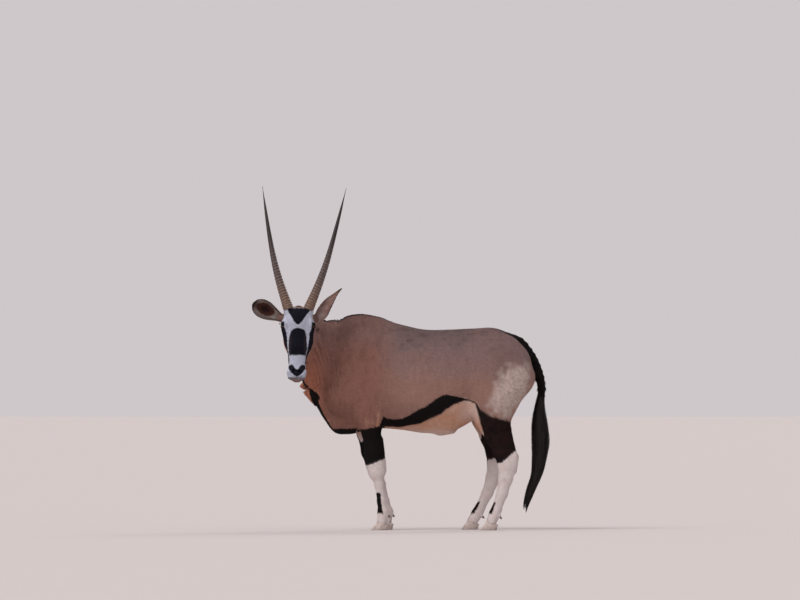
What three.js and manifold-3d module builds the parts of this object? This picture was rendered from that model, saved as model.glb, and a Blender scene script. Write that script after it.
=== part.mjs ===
// A life-size gemsbok, standing on the floor with its left side to -Y and its head turned to look along -Y.
// The body is one smooth field of distances: a trunk profile, with rounded limbs and balls for the muscles.
// Each part is a loft of rings whose points are cast from inside on to that field. Neighbours are cast on to
// the same field and parted with thin flat cuts, so they meet face to face.
// Sizes are in millimetres, +Z is up, the head end is at -X, and the origin is under the middle of the whole.
import * as THREE from "three";
import { mergeVertices } from "three/addons/utils/BufferGeometryUtils.js";
import Module from "manifold-3d";

const wasm = await Module();
wasm.setup();

// Driving sizes of the animal
const CUT = 0.3; // gap that parts two touching pieces
const FORE_Y = 98; // a fore foot's distance from the middle plane
const HIND_Y = 112; // a hind foot's distance from the middle plane
const CORONET_Z = 40; // height at which hoof meets skin
const EYE_RADIUS = 18;
const HORN_LENGTH = 772;

// Where the head is: the middle of the face between the eyes, and how it is turned
const HEAD_AT = new THREE.Vector3(-582, -338, 1142);
const HEAD_PITCH = 6; // degrees, nose towards the viewer
const HEAD_ROLL = 1.2; // degrees, crown towards the tail
const HEAD_YAW = 3; // degrees, nose towards -X

const V = (x, y, z) => new THREE.Vector3(x, y, z);
const rad = THREE.MathUtils.degToRad;
const lerp = THREE.MathUtils.lerp;
const clamp = THREE.MathUtils.clamp;

// A smooth curve through the stations (at, value), flat beyond both ends.
function profile(at, value) {
  return (x) => {
    const last = at.length - 1;
    if (x <= at[0]) return value[0];
    if (x >= at[last]) return value[last];
    let i = 0;
    while (x > at[i + 1]) i += 1;
    const inside = (k) => k > 0 && k < last;
    const slope = (k) => (inside(k) ? (value[k + 1] - value[k - 1]) / (at[k + 1] - at[k - 1]) : 0);
    const h = at[i + 1] - at[i];
    const t = (x - at[i]) / h;
    const s = 1 - t;
    return (
      value[i] * s * s * (1 + 2 * t) +
      value[i + 1] * t * t * (3 - 2 * t) +
      h * t * s * (slope(i) * s - slope(i + 1) * t)
    );
  };
}

// The pieces of the field. Each gives about the distance from a point to its surface, negative inside,
// and has k, the width over which it melts into what is already there.

// A rounded limb from a to b. r is its half depth at each end, wide its half width over its half depth,
// measured along side. A cap above 1 makes its two ends flatter.
function limb(a, b, ra, rb, k, wideA = 1, wideB = wideA, side = V(0, 1, 0), cap = 1) {
  const ab = b.clone().sub(a);
  const along2 = ab.lengthSq();
  const across = side.clone().addScaledVector(ab, -side.dot(ab) / along2).normalize();
  const q = V(0, 0, 0);
  const distance = (p) => {
    q.copy(p).sub(a);
    const whole = q.dot(ab) / along2;
    const t = clamp(whole, 0, 1);
    q.addScaledVector(ab, (whole - t) * cap - whole);
    const s = q.dot(across);
    const rest2 = Math.max(q.lengthSq() - s * s, 0);
    const wide = lerp(wideA, wideB, t);
    const reach = Math.sqrt(rest2 + (s / wide) ** 2);
    const steep = Math.sqrt(rest2 + (s / wide ** 2) ** 2) / Math.max(reach, 1e-6);
    return (reach - lerp(ra, rb, t)) / Math.max(steep, 0.3);
  };
  return { distance, k };
}

// An ellipsoid of half sizes r about c, tilted by the angles turn (degrees about X, Y and Z).
function ball(c, r, k, turn = V(0, 0, 0)) {
  const back = new THREE.Matrix4()
    .makeRotationFromEuler(new THREE.Euler(rad(turn.x), rad(turn.y), rad(turn.z)))
    .setPosition(c)
    .invert();
  const q = V(0, 0, 0);
  const distance = (p) => {
    q.copy(p).applyMatrix4(back).divide(r);
    const far = q.length();
    const steep = q.divide(r).length();
    return (far * (far - 1)) / Math.max(steep, 1e-9);
  };
  return { distance, k };
}

// The same piece on both sides of the middle plane, side -1 for the animal's left on the body.
const pair = (make) => [make(-1), make(1)];

// Joins pieces into one field, each melted in by its own k.
function melt(pieces) {
  return (p) => {
    let d = pieces[0].distance(p);
    for (let i = 1; i < pieces.length; i += 1) {
      const { distance, k } = pieces[i];
      const e = distance(p);
      const h = Math.max(k - Math.abs(d - e), 0) / k;
      d = Math.min(d, e) - (h * h * k) / 4;
    }
    return d;
  };
}

// Hollows cut out of a field, each with a soft rim.
function carve(field, hollows) {
  return (p) => {
    let d = field(p);
    for (const { distance, k } of hollows) {
      const e = -distance(p);
      const h = Math.max(k - Math.abs(d - e), 0) / k;
      d = Math.max(d, e) + (h * h * k) / 4;
    }
    return d;
  };
}

// Trunk: heights of back and belly, and half width, at stations from breast to rump
const TRUNK_X = [-490, -440, -380, -310, -230, -120, 0, 130, 270, 400, 520, 620, 690, 735];
const TRUNK_TOP = [900, 1060, 1138, 1189, 1208, 1187, 1153, 1126, 1126, 1132, 1133, 1083, 992, 905];
const TRUNK_LOW = [700, 624, 546, 534, 545, 566, 558, 540, 546, 612, 690, 745, 800, 850];
const TRUNK_HALF = [34, 84, 122, 146, 164, 184, 210, 230, 228, 200, 172, 146, 104, 40];
const trunkTop = profile(TRUNK_X, TRUNK_TOP);
const trunkLow = profile(TRUNK_X, TRUNK_LOW);
const trunkHalf = profile(TRUNK_X, TRUNK_HALF);
const TRUNK_WIDEST = 0.43; // share of the height at which the barrel is widest
const TRUNK_BACK = profile([-400, -230, 0, 270, 600], [1.9, 1.55, 1.85, 2.2, 2.1]); // how square the back is
const TRUNK_BELLY = 2.15;

function trunkDistance(p) {
  const x = clamp(p.x, TRUNK_X[0], TRUNK_X[TRUNK_X.length - 1]);
  const high = trunkTop(x);
  const low = trunkLow(x);
  const middle = lerp(low, high, TRUNK_WIDEST);
  const up = p.z > middle;
  const n = up ? TRUNK_BACK(x) : TRUNK_BELLY;
  const dz = p.z - middle;
  const u = Math.abs(p.y) / trunkHalf(x);
  const v = Math.abs(dz) / (up ? high - middle : middle - low);
  const share = (u ** n + v ** n) ** (1 / n);
  const reach = Math.hypot(p.y, dz);
  const radial = share < 1e-3 ? -trunkHalf(x) : reach - reach / share;
  const beyond = Math.abs(p.x - x);
  return beyond > 0 ? Math.hypot(Math.max(radial, 0), beyond) + Math.min(radial, 0) : radial;
}

// Neck: middle line from the breast to behind the jaw, its half depth, and half width over half depth
const NECK = [
  { at: V(-250, 0, 896), half: 276, wide: 0.47 },
  { at: V(-378, -8, 950), half: 229, wide: 0.5 },
  { at: V(-452, -34, 987), half: 201, wide: 0.525 },
  { at: V(-512, -80, 1025), half: 166, wide: 0.6 },
  { at: V(-548, -135, 1056), half: 138, wide: 0.64 },
  { at: V(-566, -190, 1078), half: 115, wide: 0.67 },
  { at: V(-572, -232, 1090), half: 104, wide: 0.62 },
];

const NECK_CAP = 2.6; // flat ends, so that no limb of the neck stands out of its bend

function neckLimbs() {
  return NECK.slice(1).map((end, i) => {
    const start = NECK[i];
    const side = end.at.clone().sub(start.at).cross(V(0, 0, 1));
    return limb(start.at, end.at, start.half, end.half, 30, start.wide, end.wide, side, NECK_CAP);
  });
}

// Muscles that stand out on the trunk, made for each side
const shoulderMuscles = pair((s) => [
  limb(V(-222, s * 84, 1080), V(-330, s * 122, 770), 70, 82, 60, 0.6), // shoulder blade
  ball(V(-352, s * 104, 742), V(64, 52, 78), 60), // point of the shoulder
  limb(V(-330, s * 118, 740), V(-168, s * 116, 650), 72, 70, 60, 0.72), // upper arm
  ball(V(-196, s * 120, 740), V(84, 52, 110), 60, V(0, -18, 0)), // triceps
]).flat();
const haunchMuscles = pair((s) => [
  ball(V(520, s * 88, 984), V(156, 92, 118), 70), // croup and hip
  limb(V(640, s * 72, 935), V(642, s * 78, 850), 82, 92, 60, 0.86), // buttock
  limb(V(642, s * 78, 850), V(536, s * 112, 640), 90, 74, 50, 0.8),
  limb(V(470, s * 124, 880), V(470, s * 136, 690), 98, 84, 70, 0.66), // front of the thigh
]).flat();

// Each leg is a chain of joints from inside the trunk to the foot: place, half depth, and width over depth.
// dx moves a joint along the body where the far leg stands differently from the near one.
function legChain(joints, y, dx) {
  return joints.map(({ at: [x, out, z], half, wide }, i) => ({ at: V(x + dx[i], y * out, z), half, wide }));
}
const FORE_JOINTS = [
  { at: [-186, 1.16, 660], half: 74, wide: 0.7 }, // elbow
  { at: [-172, 1.12, 545], half: 54, wide: 0.8 },
  { at: [-160, 1.08, 440], half: 51, wide: 0.8 }, // forearm
  { at: [-146, 1.03, 365], half: 45, wide: 0.86 },
  { at: [-139, 1.01, 318], half: 41, wide: 0.9 }, // knee
  { at: [-126, 1.0, 252], half: 27, wide: 0.86 }, // cannon
  { at: [-114, 1.0, 160], half: 25, wide: 0.86 },
  { at: [-105, 1.0, 100], half: 31, wide: 1.05 }, // fetlock
  { at: [-112, 1.0, 44], half: 30, wide: 1.18 }, // pastern
];
const FORE_SHIFT = { near: [0, 0, 0, 0, 0, 0, 0, 0, 0], far: [-34, -30, -20, -12, -5, 8, 18, 24, 26] };
const HIND_JOINTS = [
  { at: [500, 1.16, 700], half: 110, wide: 0.66 }, // stifle
  { at: [502, 1.13, 612], half: 88, wide: 0.68 },
  { at: [530, 1.08, 525], half: 68, wide: 0.68 }, // gaskin
  { at: [564, 1.04, 440], half: 55, wide: 0.66 },
  { at: [588, 1.0, 372], half: 53, wide: 0.68 }, // hock
  { at: [580, 1.0, 290], half: 41, wide: 0.76 }, // cannon
  { at: [560, 1.0, 205], half: 32, wide: 0.84 },
  { at: [530, 1.0, 120], half: 28, wide: 0.95 },
  { at: [519, 1.0, 92], half: 31, wide: 1.04 }, // fetlock
  { at: [498, 1.0, 44], half: 31, wide: 1.12 }, // pastern
];
const HIND_SHIFT = {
  near: HIND_JOINTS.map(() => 0),
  far: [-6, -14, -26, -40, -56, -68, -80, -92, -96, -104],
};
const LEGS = [
  { name: "front_left", y: -FORE_Y, joints: FORE_JOINTS, dx: FORE_SHIFT.near, fore: true },
  { name: "front_right", y: FORE_Y, joints: FORE_JOINTS, dx: FORE_SHIFT.far, fore: true },
  { name: "hind_left", y: -HIND_Y, joints: HIND_JOINTS, dx: HIND_SHIFT.near, fore: false },
  { name: "hind_right", y: HIND_Y, joints: HIND_JOINTS, dx: HIND_SHIFT.far, fore: false },
].map((leg) => ({ ...leg, chain: legChain(leg.joints, leg.y, leg.dx) }));

// A dewclaw: where its pad is, from the middle of the fetlock, and a blunt claw that points back and down
const DEWCLAW = { back: 25, out: 17, down: 13, radius: 9.5, tip: 4, length: 34, sunk: 12, cut: 9 };
function legPieces(leg) {
  const { chain } = leg;
  const pieces = chain.slice(1).map((end, i) => {
    const start = chain[i];
    return limb(start.at, end.at, start.half, end.half, 14, start.wide, end.wide);
  });
  const foot = chain[chain.length - 1].at;
  const fetlock = chain[chain.length - 2].at;
  for (const s of [-1, 1]) {
    const toeTop = fetlock.clone().add(V(-4, s * 15, -14));
    pieces.push(limb(toeTop, foot.clone().add(V(-6, s * 19, -14)), 24, 27, 8, 0.8)); // a toe
    pieces.push(limb(fetlock, dewclawAt(leg, s), 14, 10, 10)); // the pad that carries a dewclaw
  }
  if (leg.fore) {
    const [, , forearm, , knee] = chain;
    const tendonTop = forearm.at.clone().add(V(34, 0, 60));
    pieces.push(limb(tendonTop, knee.at.clone().add(V(30, 0, 20)), 24, 20, 30));
    pieces.push(ball(knee.at.clone().add(V(-14, 0, 10)), V(28, 32, 34), 16)); // knee cap
  } else {
    const [, , gaskin, , hock] = chain;
    const heel = hock.at.clone().add(V(42, 0, 38));
    pieces.push(limb(gaskin.at.clone().add(V(58, 0, 36)), heel, 26, 19, 26)); // Achilles tendon
    pieces.push(limb(heel, hock.at.clone().add(V(36, 0, -40)), 21, 18, 20)); // heel of the hock
  }
  return pieces;
}
function dewclawAt(leg, s) {
  const fetlock = leg.chain[leg.chain.length - 2].at;
  return fetlock.clone().add(V(DEWCLAW.back, s * DEWCLAW.out, -DEWCLAW.down));
}

const SHEATH = limb(V(215, 0, 562), V(285, 0, 556), 27, 10, 40, 0.8);
const NECK_MELT = 90; // how softly the neck's root runs into the trunk
const [neckRoot, ...neckRest] = neckLimbs();
const trunkField = melt([
  { distance: trunkDistance, k: 1 },
  { ...neckRoot, k: NECK_MELT },
  ...neckRest,
  ...shoulderMuscles,
  ...haunchMuscles,
  SHEATH,
]);
const FLANK_MELT = 56; // how softly a leg runs into the trunk
const FLANK_DEPTH = 34; // how far the trunk's own loft follows a leg
const legFields = LEGS.map((leg) => {
  const own = melt(legPieces(leg));
  return melt([{ distance: trunkField, k: 1 }, { distance: own, k: FLANK_MELT }]);
});
const flankField = (p) => {
  const whole = Math.min(...legFields.map((field) => field(p)));
  return Math.max(whole, trunkField(p) - FLANK_DEPTH);
};

// Head, in its own frame: x to the animal's left, y from the face into the head, z from nose to crown
const EYE_AT = V(75, 44, 0);
const EYE_LOOKS = V(0.86, -0.5, 0.04).normalize();
const HORN_ROOT = V(55, 46, 96);
const EAR_ROOT = V(92, 116, 52);
const headPieces = [
  ball(V(0, 92, 34), V(74, 84, 76), 30), // brain case
  ball(V(0, 50, 52), V(72, 44, 58), 30), // forehead
  ball(V(0, 126, 62), V(56, 50, 56), 30), // back of the skull
  limb(V(0, 58, 20), V(0, 52, -118), 54, 46, 30, 1.22, 1.2, V(1, 0, 0)), // face
  limb(V(0, 52, -118), V(0, 52, -236), 46, 40, 24, 1.2, 1.16, V(1, 0, 0)), // bridge of the nose
  ball(V(0, 50, -254), V(47, 40, 34), 18), // muzzle
  ...pair((s) => ball(V(s * 31, 40, -262), V(25, 28, 26), 14)), // sides of the nostrils
  ...pair((s) => ball(V(s * 22, 44, -286), V(26, 26, 17), 12)), // upper lip
  limb(V(0, 80, -230), V(0, 74, -288), 31, 23, 14, 1.1, 1.4, V(1, 0, 0)), // lower lip and chin
  ...pair((s) => limb(V(s * 35, 148, -40), V(s * 19, 96, -215), 42, 28, 30, 0.8, 0.9, V(1, 0, 0))), // jaw
  ...pair((s) => ball(V(s * 46, 112, -30), V(32, 56, 70), 28)), // cheek
  ...pair((s) => limb(V(s * 52, 44, -96), V(s * 68, 52, -22), 20, 24, 26)), // cheek bone
  ...pair((s) => ball(V(s * 70, 50, 12), V(24, 34, 30), 22)), // eye socket's rim
  ...pair((s) => limb(V(s * 40, 62, 60), V(s * 54, 48, 86), 33, 30, 18)), // horn's root
  ball(V(0, 54, 98), V(17, 22, 20), 14), // tuft on the crown
  ...pair((s) => limb(V(s * 58, 108, 46), V(s * 98, 117, 54), 32, 25, 18)), // ear's root
  limb(V(0, 116, -30), V(0, 178, -62), 66, 74, 40, 1.02, 1.02, V(1, 0, 0)), // throat
  limb(V(0, 120, 40), V(0, 176, 18), 62, 70, 40, 0.95, 1, V(1, 0, 0)), // nape
];
const headHollows = [
  limb(V(0, 6, -276), V(0, 14, -300), 2.6, 3.4, 5), // cleft of the upper lip
  ...pair((s) => limb(V(s * 62, 20, -60), V(s * 56, 16, -120), 4, 3, 24)), // hollow before the eye
];
const headField = carve(melt(headPieces), headHollows);
const headMatrix = new THREE.Matrix4()
  .makeRotationFromEuler(new THREE.Euler(rad(-HEAD_PITCH), rad(HEAD_ROLL), rad(-HEAD_YAW), "ZYX"))
  .setPosition(HEAD_AT);
const headMatrixBack = headMatrix.clone().invert();
const toWorld = (p) => p.clone().applyMatrix4(headMatrix);
const turnToWorld = (v) => v.clone().transformDirection(headMatrix);

// Head and neck together, once in the head's frame and once in the body's
const HEAD_MELT = 44;
const trunkFromHead = { distance: (p) => trunkField(toWorld(p)), k: HEAD_MELT };
const throatField = melt([{ distance: headField, k: 1 }, trunkFromHead]);
const neckField = (p) => throatField(p.clone().applyMatrix4(headMatrixBack));

// Casts a point on the surface from inside it, no further than limit.
const probe = V(0, 0, 0);
function cast(field, from, direction, limit) {
  let near = 0;
  let far = 2;
  while (far < limit) {
    const d = field(probe.copy(from).addScaledVector(direction, far));
    if (d > 0) break;
    near = far;
    far += Math.max(2, -0.7 * d);
  }
  if (far >= limit) return from.clone().addScaledVector(direction, limit);
  for (let i = 0; i < 14; i += 1) {
    const half = (near + far) / 2;
    if (field(probe.copy(from).addScaledVector(direction, half)) > 0) far = half;
    else near = half;
  }
  return from.clone().addScaledVector(direction, near);
}

// A closed mesh from rings of points, each ring the same way round, with a middle point at each end.
function loft(rings, first, last) {
  const n = rings[0].length;
  const points = [first, ...rings.flat(), last];
  const index = [];
  const at = (i, j) => 1 + i * n + (j % n);
  for (let j = 0; j < n; j += 1) {
    index.push(0, at(0, j + 1), at(0, j));
    index.push(points.length - 1, at(rings.length - 1, j), at(rings.length - 1, j + 1));
    for (let i = 0; i < rings.length - 1; i += 1) {
      index.push(at(i, j), at(i, j + 1), at(i + 1, j + 1));
      index.push(at(i, j), at(i + 1, j + 1), at(i + 1, j));
    }
  }
  const geometry = new THREE.BufferGeometry().setFromPoints(points);
  geometry.setIndex(index);
  return geometry;
}

const mean = (ring) => ring.reduce((sum, p) => sum.add(p), V(0, 0, 0)).divideScalar(ring.length);

// Rings cast from a middle line. Each stop is { at, out, up, limit }: rays fan in the plane of out and up.
// The caps turn the first and last fan round to the line's own ends in a few more rings.
function castLoft(field, stops, sides, caps = { first: [], last: [] }) {
  const ray = (stop, j, tilt) => {
    const angle = (2 * Math.PI * j) / sides;
    const axis = stop.out.clone().cross(stop.up).normalize();
    return stop.out
      .clone()
      .multiplyScalar(Math.cos(angle))
      .addScaledVector(stop.up, Math.sin(angle))
      .multiplyScalar(Math.cos(tilt))
      .addScaledVector(axis, Math.sin(tilt));
  };
  const ring = (stop, tilt) =>
    Array.from({ length: sides }, (_, j) => cast(field, stop.at, ray(stop, j, tilt), stop.limit));
  const start = stops[0];
  const end = stops[stops.length - 1];
  const rings = [
    ...caps.first.map((tilt) => ring(start, -rad(tilt))),
    ...stops.map((stop) => ring(stop, 0)),
    ...caps.last.map((tilt) => ring(end, rad(tilt))),
  ];
  const pole = (stop, sign) => cast(field, stop.at, ray(stop, 0, (sign * Math.PI) / 2), stop.limit);
  const first = caps.first.length ? pole(start, -1) : mean(rings[0]);
  const last = caps.last.length ? pole(end, 1) : mean(rings[rings.length - 1]);
  return loft(rings, first, last);
}

// A three.js geometry as a solid for joining and cutting, and back again.
function solid(geometry) {
  const bare = new THREE.BufferGeometry().setAttribute("position", geometry.getAttribute("position").clone());
  bare.setIndex(geometry.index ? Array.from(geometry.index.array) : null);
  const merged = mergeVertices(bare, 1e-3);
  const vertProperties = Float32Array.from(merged.attributes.position.array);
  const make = (triVerts) => new wasm.Manifold(new wasm.Mesh({ numProp: 3, vertProperties, triVerts }));
  const triVerts = Uint32Array.from(merged.index.array);
  const made = make(triVerts);
  return made.volume() > 0 ? made : make(triVerts.reverse());
}
function geometryOf(made) {
  const mesh = made.getMesh();
  const points = new Float32Array(mesh.numVert * 3);
  for (let i = 0; i < mesh.numVert; i += 1) {
    points.set(mesh.vertProperties.subarray(i * mesh.numProp, i * mesh.numProp + 3), i * 3);
  }
  const geometry = new THREE.BufferGeometry().setAttribute("position", new THREE.BufferAttribute(points, 3));
  geometry.setIndex(Array.from(mesh.triVerts));
  return geometry;
}
const joined = (solids) => solids.reduce((all, next) => all.add(next));
const larger = (a, b) => (b.volume() > a.volume() ? b : a);
const largest = (made) => made.decompose().reduce(larger);

// A box standing on its own base plane: the base's middle is at foot, and it reaches high along up.
function regionMatrix(foot, up, side) {
  const z = up.clone().normalize();
  const x = side.clone().addScaledVector(z, -side.dot(z)).normalize();
  const y = z.clone().cross(x);
  return new THREE.Matrix4().makeBasis(x, y, z).setPosition(foot);
}
function region({ foot, up, side, size }, lift) {
  const [wide, deep, high] = size;
  const box = new THREE.BoxGeometry(wide, deep, high).translate(0, 0, high / 2 + lift);
  return solid(box.applyMatrix4(regionMatrix(foot, up, side)));
}

// A box that hangs straight down from a sloping top plane: foot is the middle of that plane.
function hangingRegion({ foot, slopeX, slopeY, size }, lift) {
  const [wide, deep, high] = size;
  const box = new THREE.BoxGeometry(wide, deep, high).translate(0, 0, -high / 2 - lift);
  const shear = new THREE.Matrix4().set(1, 0, 0, 0, 0, 1, 0, 0, slopeX, slopeY, 1, 0, 0, 0, 0, 1);
  return solid(box.applyMatrix4(shear).translate(foot.x, foot.y, foot.z));
}

// Cuts what lies in the region off the whole, and leaves the gap CUT between the two.
function partOff(whole, where, make = region) {
  const piece = largest(whole.intersect(make(where, CUT / 2)));
  const rest = largest(whole.subtract(make(where, -CUT / 2)));
  return [piece, rest];
}

// Trunk, neck and head as lofts
const TRUNK_SIDES = 30;
const TRUNK_FROM = -400;
const TRUNK_TO = 590;
const TRUNK_RINGS = 22;
function trunkSolid() {
  const stops = Array.from({ length: TRUNK_RINGS }, (_, i) => {
    const x = lerp(TRUNK_FROM, TRUNK_TO, i / (TRUNK_RINGS - 1));
    const middle = lerp(trunkLow(x), trunkTop(x), 0.5);
    return { at: V(x, 0, middle), out: V(0, 1, 0), up: V(0, 0, 1), limit: 380 };
  });
  const caps = { first: [74, 60, 46, 34, 22, 11], last: [18, 36, 54, 72] };
  return solid(castLoft(flankField, stops, TRUNK_SIDES, caps));
}

const NECK_SIDES = 24;
const NECK_STOPS = 10;
function neckSolid() {
  const line = new THREE.CatmullRomCurve3(NECK.map(({ at }) => at));
  const stops = Array.from({ length: NECK_STOPS }, (_, i) => {
    const t = lerp(0.06, 1, i / (NECK_STOPS - 1));
    const along = line.getTangent(t);
    const out = along.clone().cross(V(0, 0, 1)).normalize();
    return { at: line.getPoint(t), out, up: out.clone().cross(along), limit: 340 };
  });
  return solid(castLoft(neckField, stops, NECK_SIDES));
}

const HEAD_SIDES = 32;
const HEAD_TOP = 64;
const HEAD_BOTTOM = -268;
const HEAD_RINGS = 28;
function headSolid() {
  const stops = Array.from({ length: HEAD_RINGS }, (_, i) => {
    const z = lerp(HEAD_TOP, HEAD_BOTTOM, i / (HEAD_RINGS - 1));
    const y = profile([HEAD_BOTTOM, -150, HEAD_TOP], [58, 72, 84])(z);
    const limit = profile([HEAD_BOTTOM, -200, -150, -60], [78, 90, 124, 190])(z);
    return { at: V(0, y, z), out: V(1, 0, 0), up: V(0, -1, 0), limit };
  });
  const caps = { first: [72, 54, 38, 20], last: [18, 34, 50, 68] };
  return solid(castLoft(throatField, stops, HEAD_SIDES, caps).applyMatrix4(headMatrix));
}

// Eye: a ball in a socket, with lids that leave an almond open
const LID_RADIUS = EYE_RADIUS + 4.5;
function withEyes(head) {
  let made = head;
  const eyes = [];
  for (const s of [1, -1]) {
    const at = EYE_AT.clone().multiply(V(s, 1, 1));
    const looks = EYE_LOOKS.clone().multiply(V(s, 1, 1));
    const place = (geometry) => solid(geometry.translate(at.x, at.y, at.z).applyMatrix4(headMatrix));
    const lids = place(new THREE.IcosahedronGeometry(LID_RADIUS, 2));
    const socket = place(new THREE.IcosahedronGeometry(EYE_RADIUS + CUT, 2));
    const almond = new THREE.CylinderGeometry(14, 11, 30, 12).scale(1.12, 1, 0.74);
    const toLook = new THREE.Matrix4().makeBasis(
      looks.clone().cross(V(0, 0, 1)).normalize().applyAxisAngle(looks, s * rad(14)),
      looks.clone(),
      looks.clone().cross(V(0, 0, 1)).cross(looks).normalize().applyAxisAngle(looks, s * rad(14)).negate(),
    );
    almond.applyMatrix4(toLook).translate(looks.x * 22, looks.y * 22, looks.z * 22);
    made = made.add(lids).subtract(place(almond)).subtract(socket);
    eyes.push(place(new THREE.IcosahedronGeometry(EYE_RADIUS, 2)));
  }
  return [largest(made), eyes];
}

// The line of the mouth: a thin groove from one corner round the front of the muzzle to the other
const MOUTH_CORNER_Z = -222;
const MOUTH_FRONT_Z = -291;
const MOUTH_WIDTH = 2.6;
function mouthGroove() {
  const steps = 16;
  const points = Array.from({ length: steps + 1 }, (_, i) => {
    const share = (2 * i) / steps - 1;
    const angle = share * 2.1;
    const z = lerp(MOUTH_FRONT_Z, MOUTH_CORNER_Z, Math.abs(share) ** 1.7);
    const from = V(0, 62, z);
    return cast(headField, from, V(Math.sin(angle), -Math.cos(angle), 0), 120);
  });
  const path = new THREE.CatmullRomCurve3(points.map(toWorld));
  const section = new THREE.Shape([
    new THREE.Vector2(MOUTH_WIDTH, 0),
    new THREE.Vector2(0, MOUTH_WIDTH),
    new THREE.Vector2(-MOUTH_WIDTH, 0),
    new THREE.Vector2(0, -MOUTH_WIDTH),
  ]);
  return solid(new THREE.ExtrudeGeometry(section, { steps: 24, bevelEnabled: false, extrudePath: path }));
}

// Nostrils: two slanting hollows at the front of the muzzle, wider at the inner end
const NOSTRIL = { at: V(26, 4, -257), length: 17, half: 7, deep: 22 };
function nostril(s) {
  const { at, length, half, deep } = NOSTRIL;
  const hollow = new THREE.IcosahedronGeometry(1, 2).scale(length, deep, half);
  hollow.rotateY(s * rad(38)).rotateZ(s * rad(24));
  return solid(hollow.translate(s * at.x, at.y, at.z).applyMatrix4(headMatrix));
}

// Horn: a long ringed cone that spreads and sweeps back, straight towards its tip
const HORN_RINGS = 16;
const HORN_RINGED = 0.5; // share of the horn that carries rings
const HORN_SIDES = 9;
const HORN_SHARES = [0, 0.06, 0.12, 0.27, 0.42, 0.58, 0.8, 1];
const hornRadius = profile(HORN_SHARES, [30, 27.5, 25.2, 20.5, 16.5, 13, 7.6, 1.4]);
const hornSpread = profile([0, 0.12, 0.3, 0.5, 1], [20.3, 20.2, 16.4, 12.5, 10.3]); // degrees outwards
const hornSweep = profile([0, 0.4, 1], [9, 16, 22]); // degrees backwards
const HORN_SUNK = 0.006; // share of the horn that sits in the head
// grow gives the seat that the horn leaves in the head.
function hornGeometry(s, grow = 0) {
  const stations = [-HORN_SUNK - grow / HORN_LENGTH];
  const step = HORN_RINGED / HORN_RINGS;
  for (let i = 0; i < HORN_RINGS; i += 1) stations.push((i + 0.1) * step, (i + 0.72) * step);
  for (let i = 0; i <= 5; i += 1) stations.push(lerp(HORN_RINGED, 1, i / 5));
  const rings = [];
  const at = HORN_ROOT.clone().multiply(V(s, 1, 1));
  let before = 0;
  stations.forEach((t, i) => {
    const spread = rad(hornSpread(t));
    const sweep = rad(hornSweep(t));
    const along = V(s * Math.tan(spread), Math.tan(sweep), 1).normalize();
    at.addScaledVector(along, (t - before) * HORN_LENGTH);
    before = t;
    const onRing = t > 0 && t < HORN_RINGED;
    const swell = onRing ? (i % 2 ? -0.055 : 0.075) * (1 - t / HORN_RINGED / 2.5) : 0;
    const radius = hornRadius(t) * (1 + swell) + grow;
    const out = V(1, 0, 0).addScaledVector(along, -along.x).normalize();
    const back = along.clone().cross(out);
    rings.push(
      Array.from({ length: HORN_SIDES }, (_, j) => {
        const angle = (2 * Math.PI * j) / HORN_SIDES;
        return at
          .clone()
          .addScaledVector(out, radius * 0.93 * Math.cos(angle))
          .addScaledVector(back, radius * 1.1 * Math.sin(angle));
      }),
    );
  });
  const tip = mean(rings[rings.length - 1]).add(V(0, 0, 2));
  return loft(rings, mean(rings[0]), tip);
}

// Ear: a leaf rolled into a tube at its root and open towards its tip
const EAR_SHARES = [0, 0.16, 0.34, 0.58, 0.8, 0.93, 1];
const EARS = {
  // the animal's left ear, turned back, and its right ear, cupped towards the viewer
  1: {
    along: V(0.62, 0.14, 0.777).normalize(),
    opens: V(0.62, 0.6, -0.5),
    length: 253,
    radius: profile(EAR_SHARES, [21, 30, 43, 41, 21, 11, 4]),
  },
  "-1": {
    along: V(-0.87, -0.3, 0.38).normalize(),
    opens: V(-0.28, -0.96, -0.1),
    length: 207,
    radius: profile(EAR_SHARES, [21, 23, 35, 54, 56, 42, 16]),
  },
};
const EAR_WALL = 4.5;
const EAR_ROWS = 11;
const EAR_COLUMNS = 9;
const earRoll = profile([0, 0.2, 0.45, 0.75, 1], [2.6, 2.05, 1.42, 1.12, 0.8]); // half angle of the roll
function earSurface(s, u, v, inner) {
  const { along, opens, length, radius: reach } = EARS[s];
  const open = opens.clone().addScaledVector(along, -opens.dot(along)).normalize();
  const across = along.clone().cross(open);
  const wall = inner ? EAR_WALL * (1 - 0.65 * v * v) * (1 - 0.5 * u) : 0;
  const radius = reach(u) - wall;
  const angle = v * earRoll(u);
  const root = EAR_ROOT.clone().multiply(V(s, 1, 1));
  const lean = 10 * Math.sin(Math.PI * u); // the back of the ear is bowed
  return root
    .addScaledVector(along, (u - 0.09) * length)
    .addScaledVector(open, -radius * Math.cos(angle) + reach(u) * 0.55 - lean)
    .addScaledVector(across, radius * Math.sin(angle));
}
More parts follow.
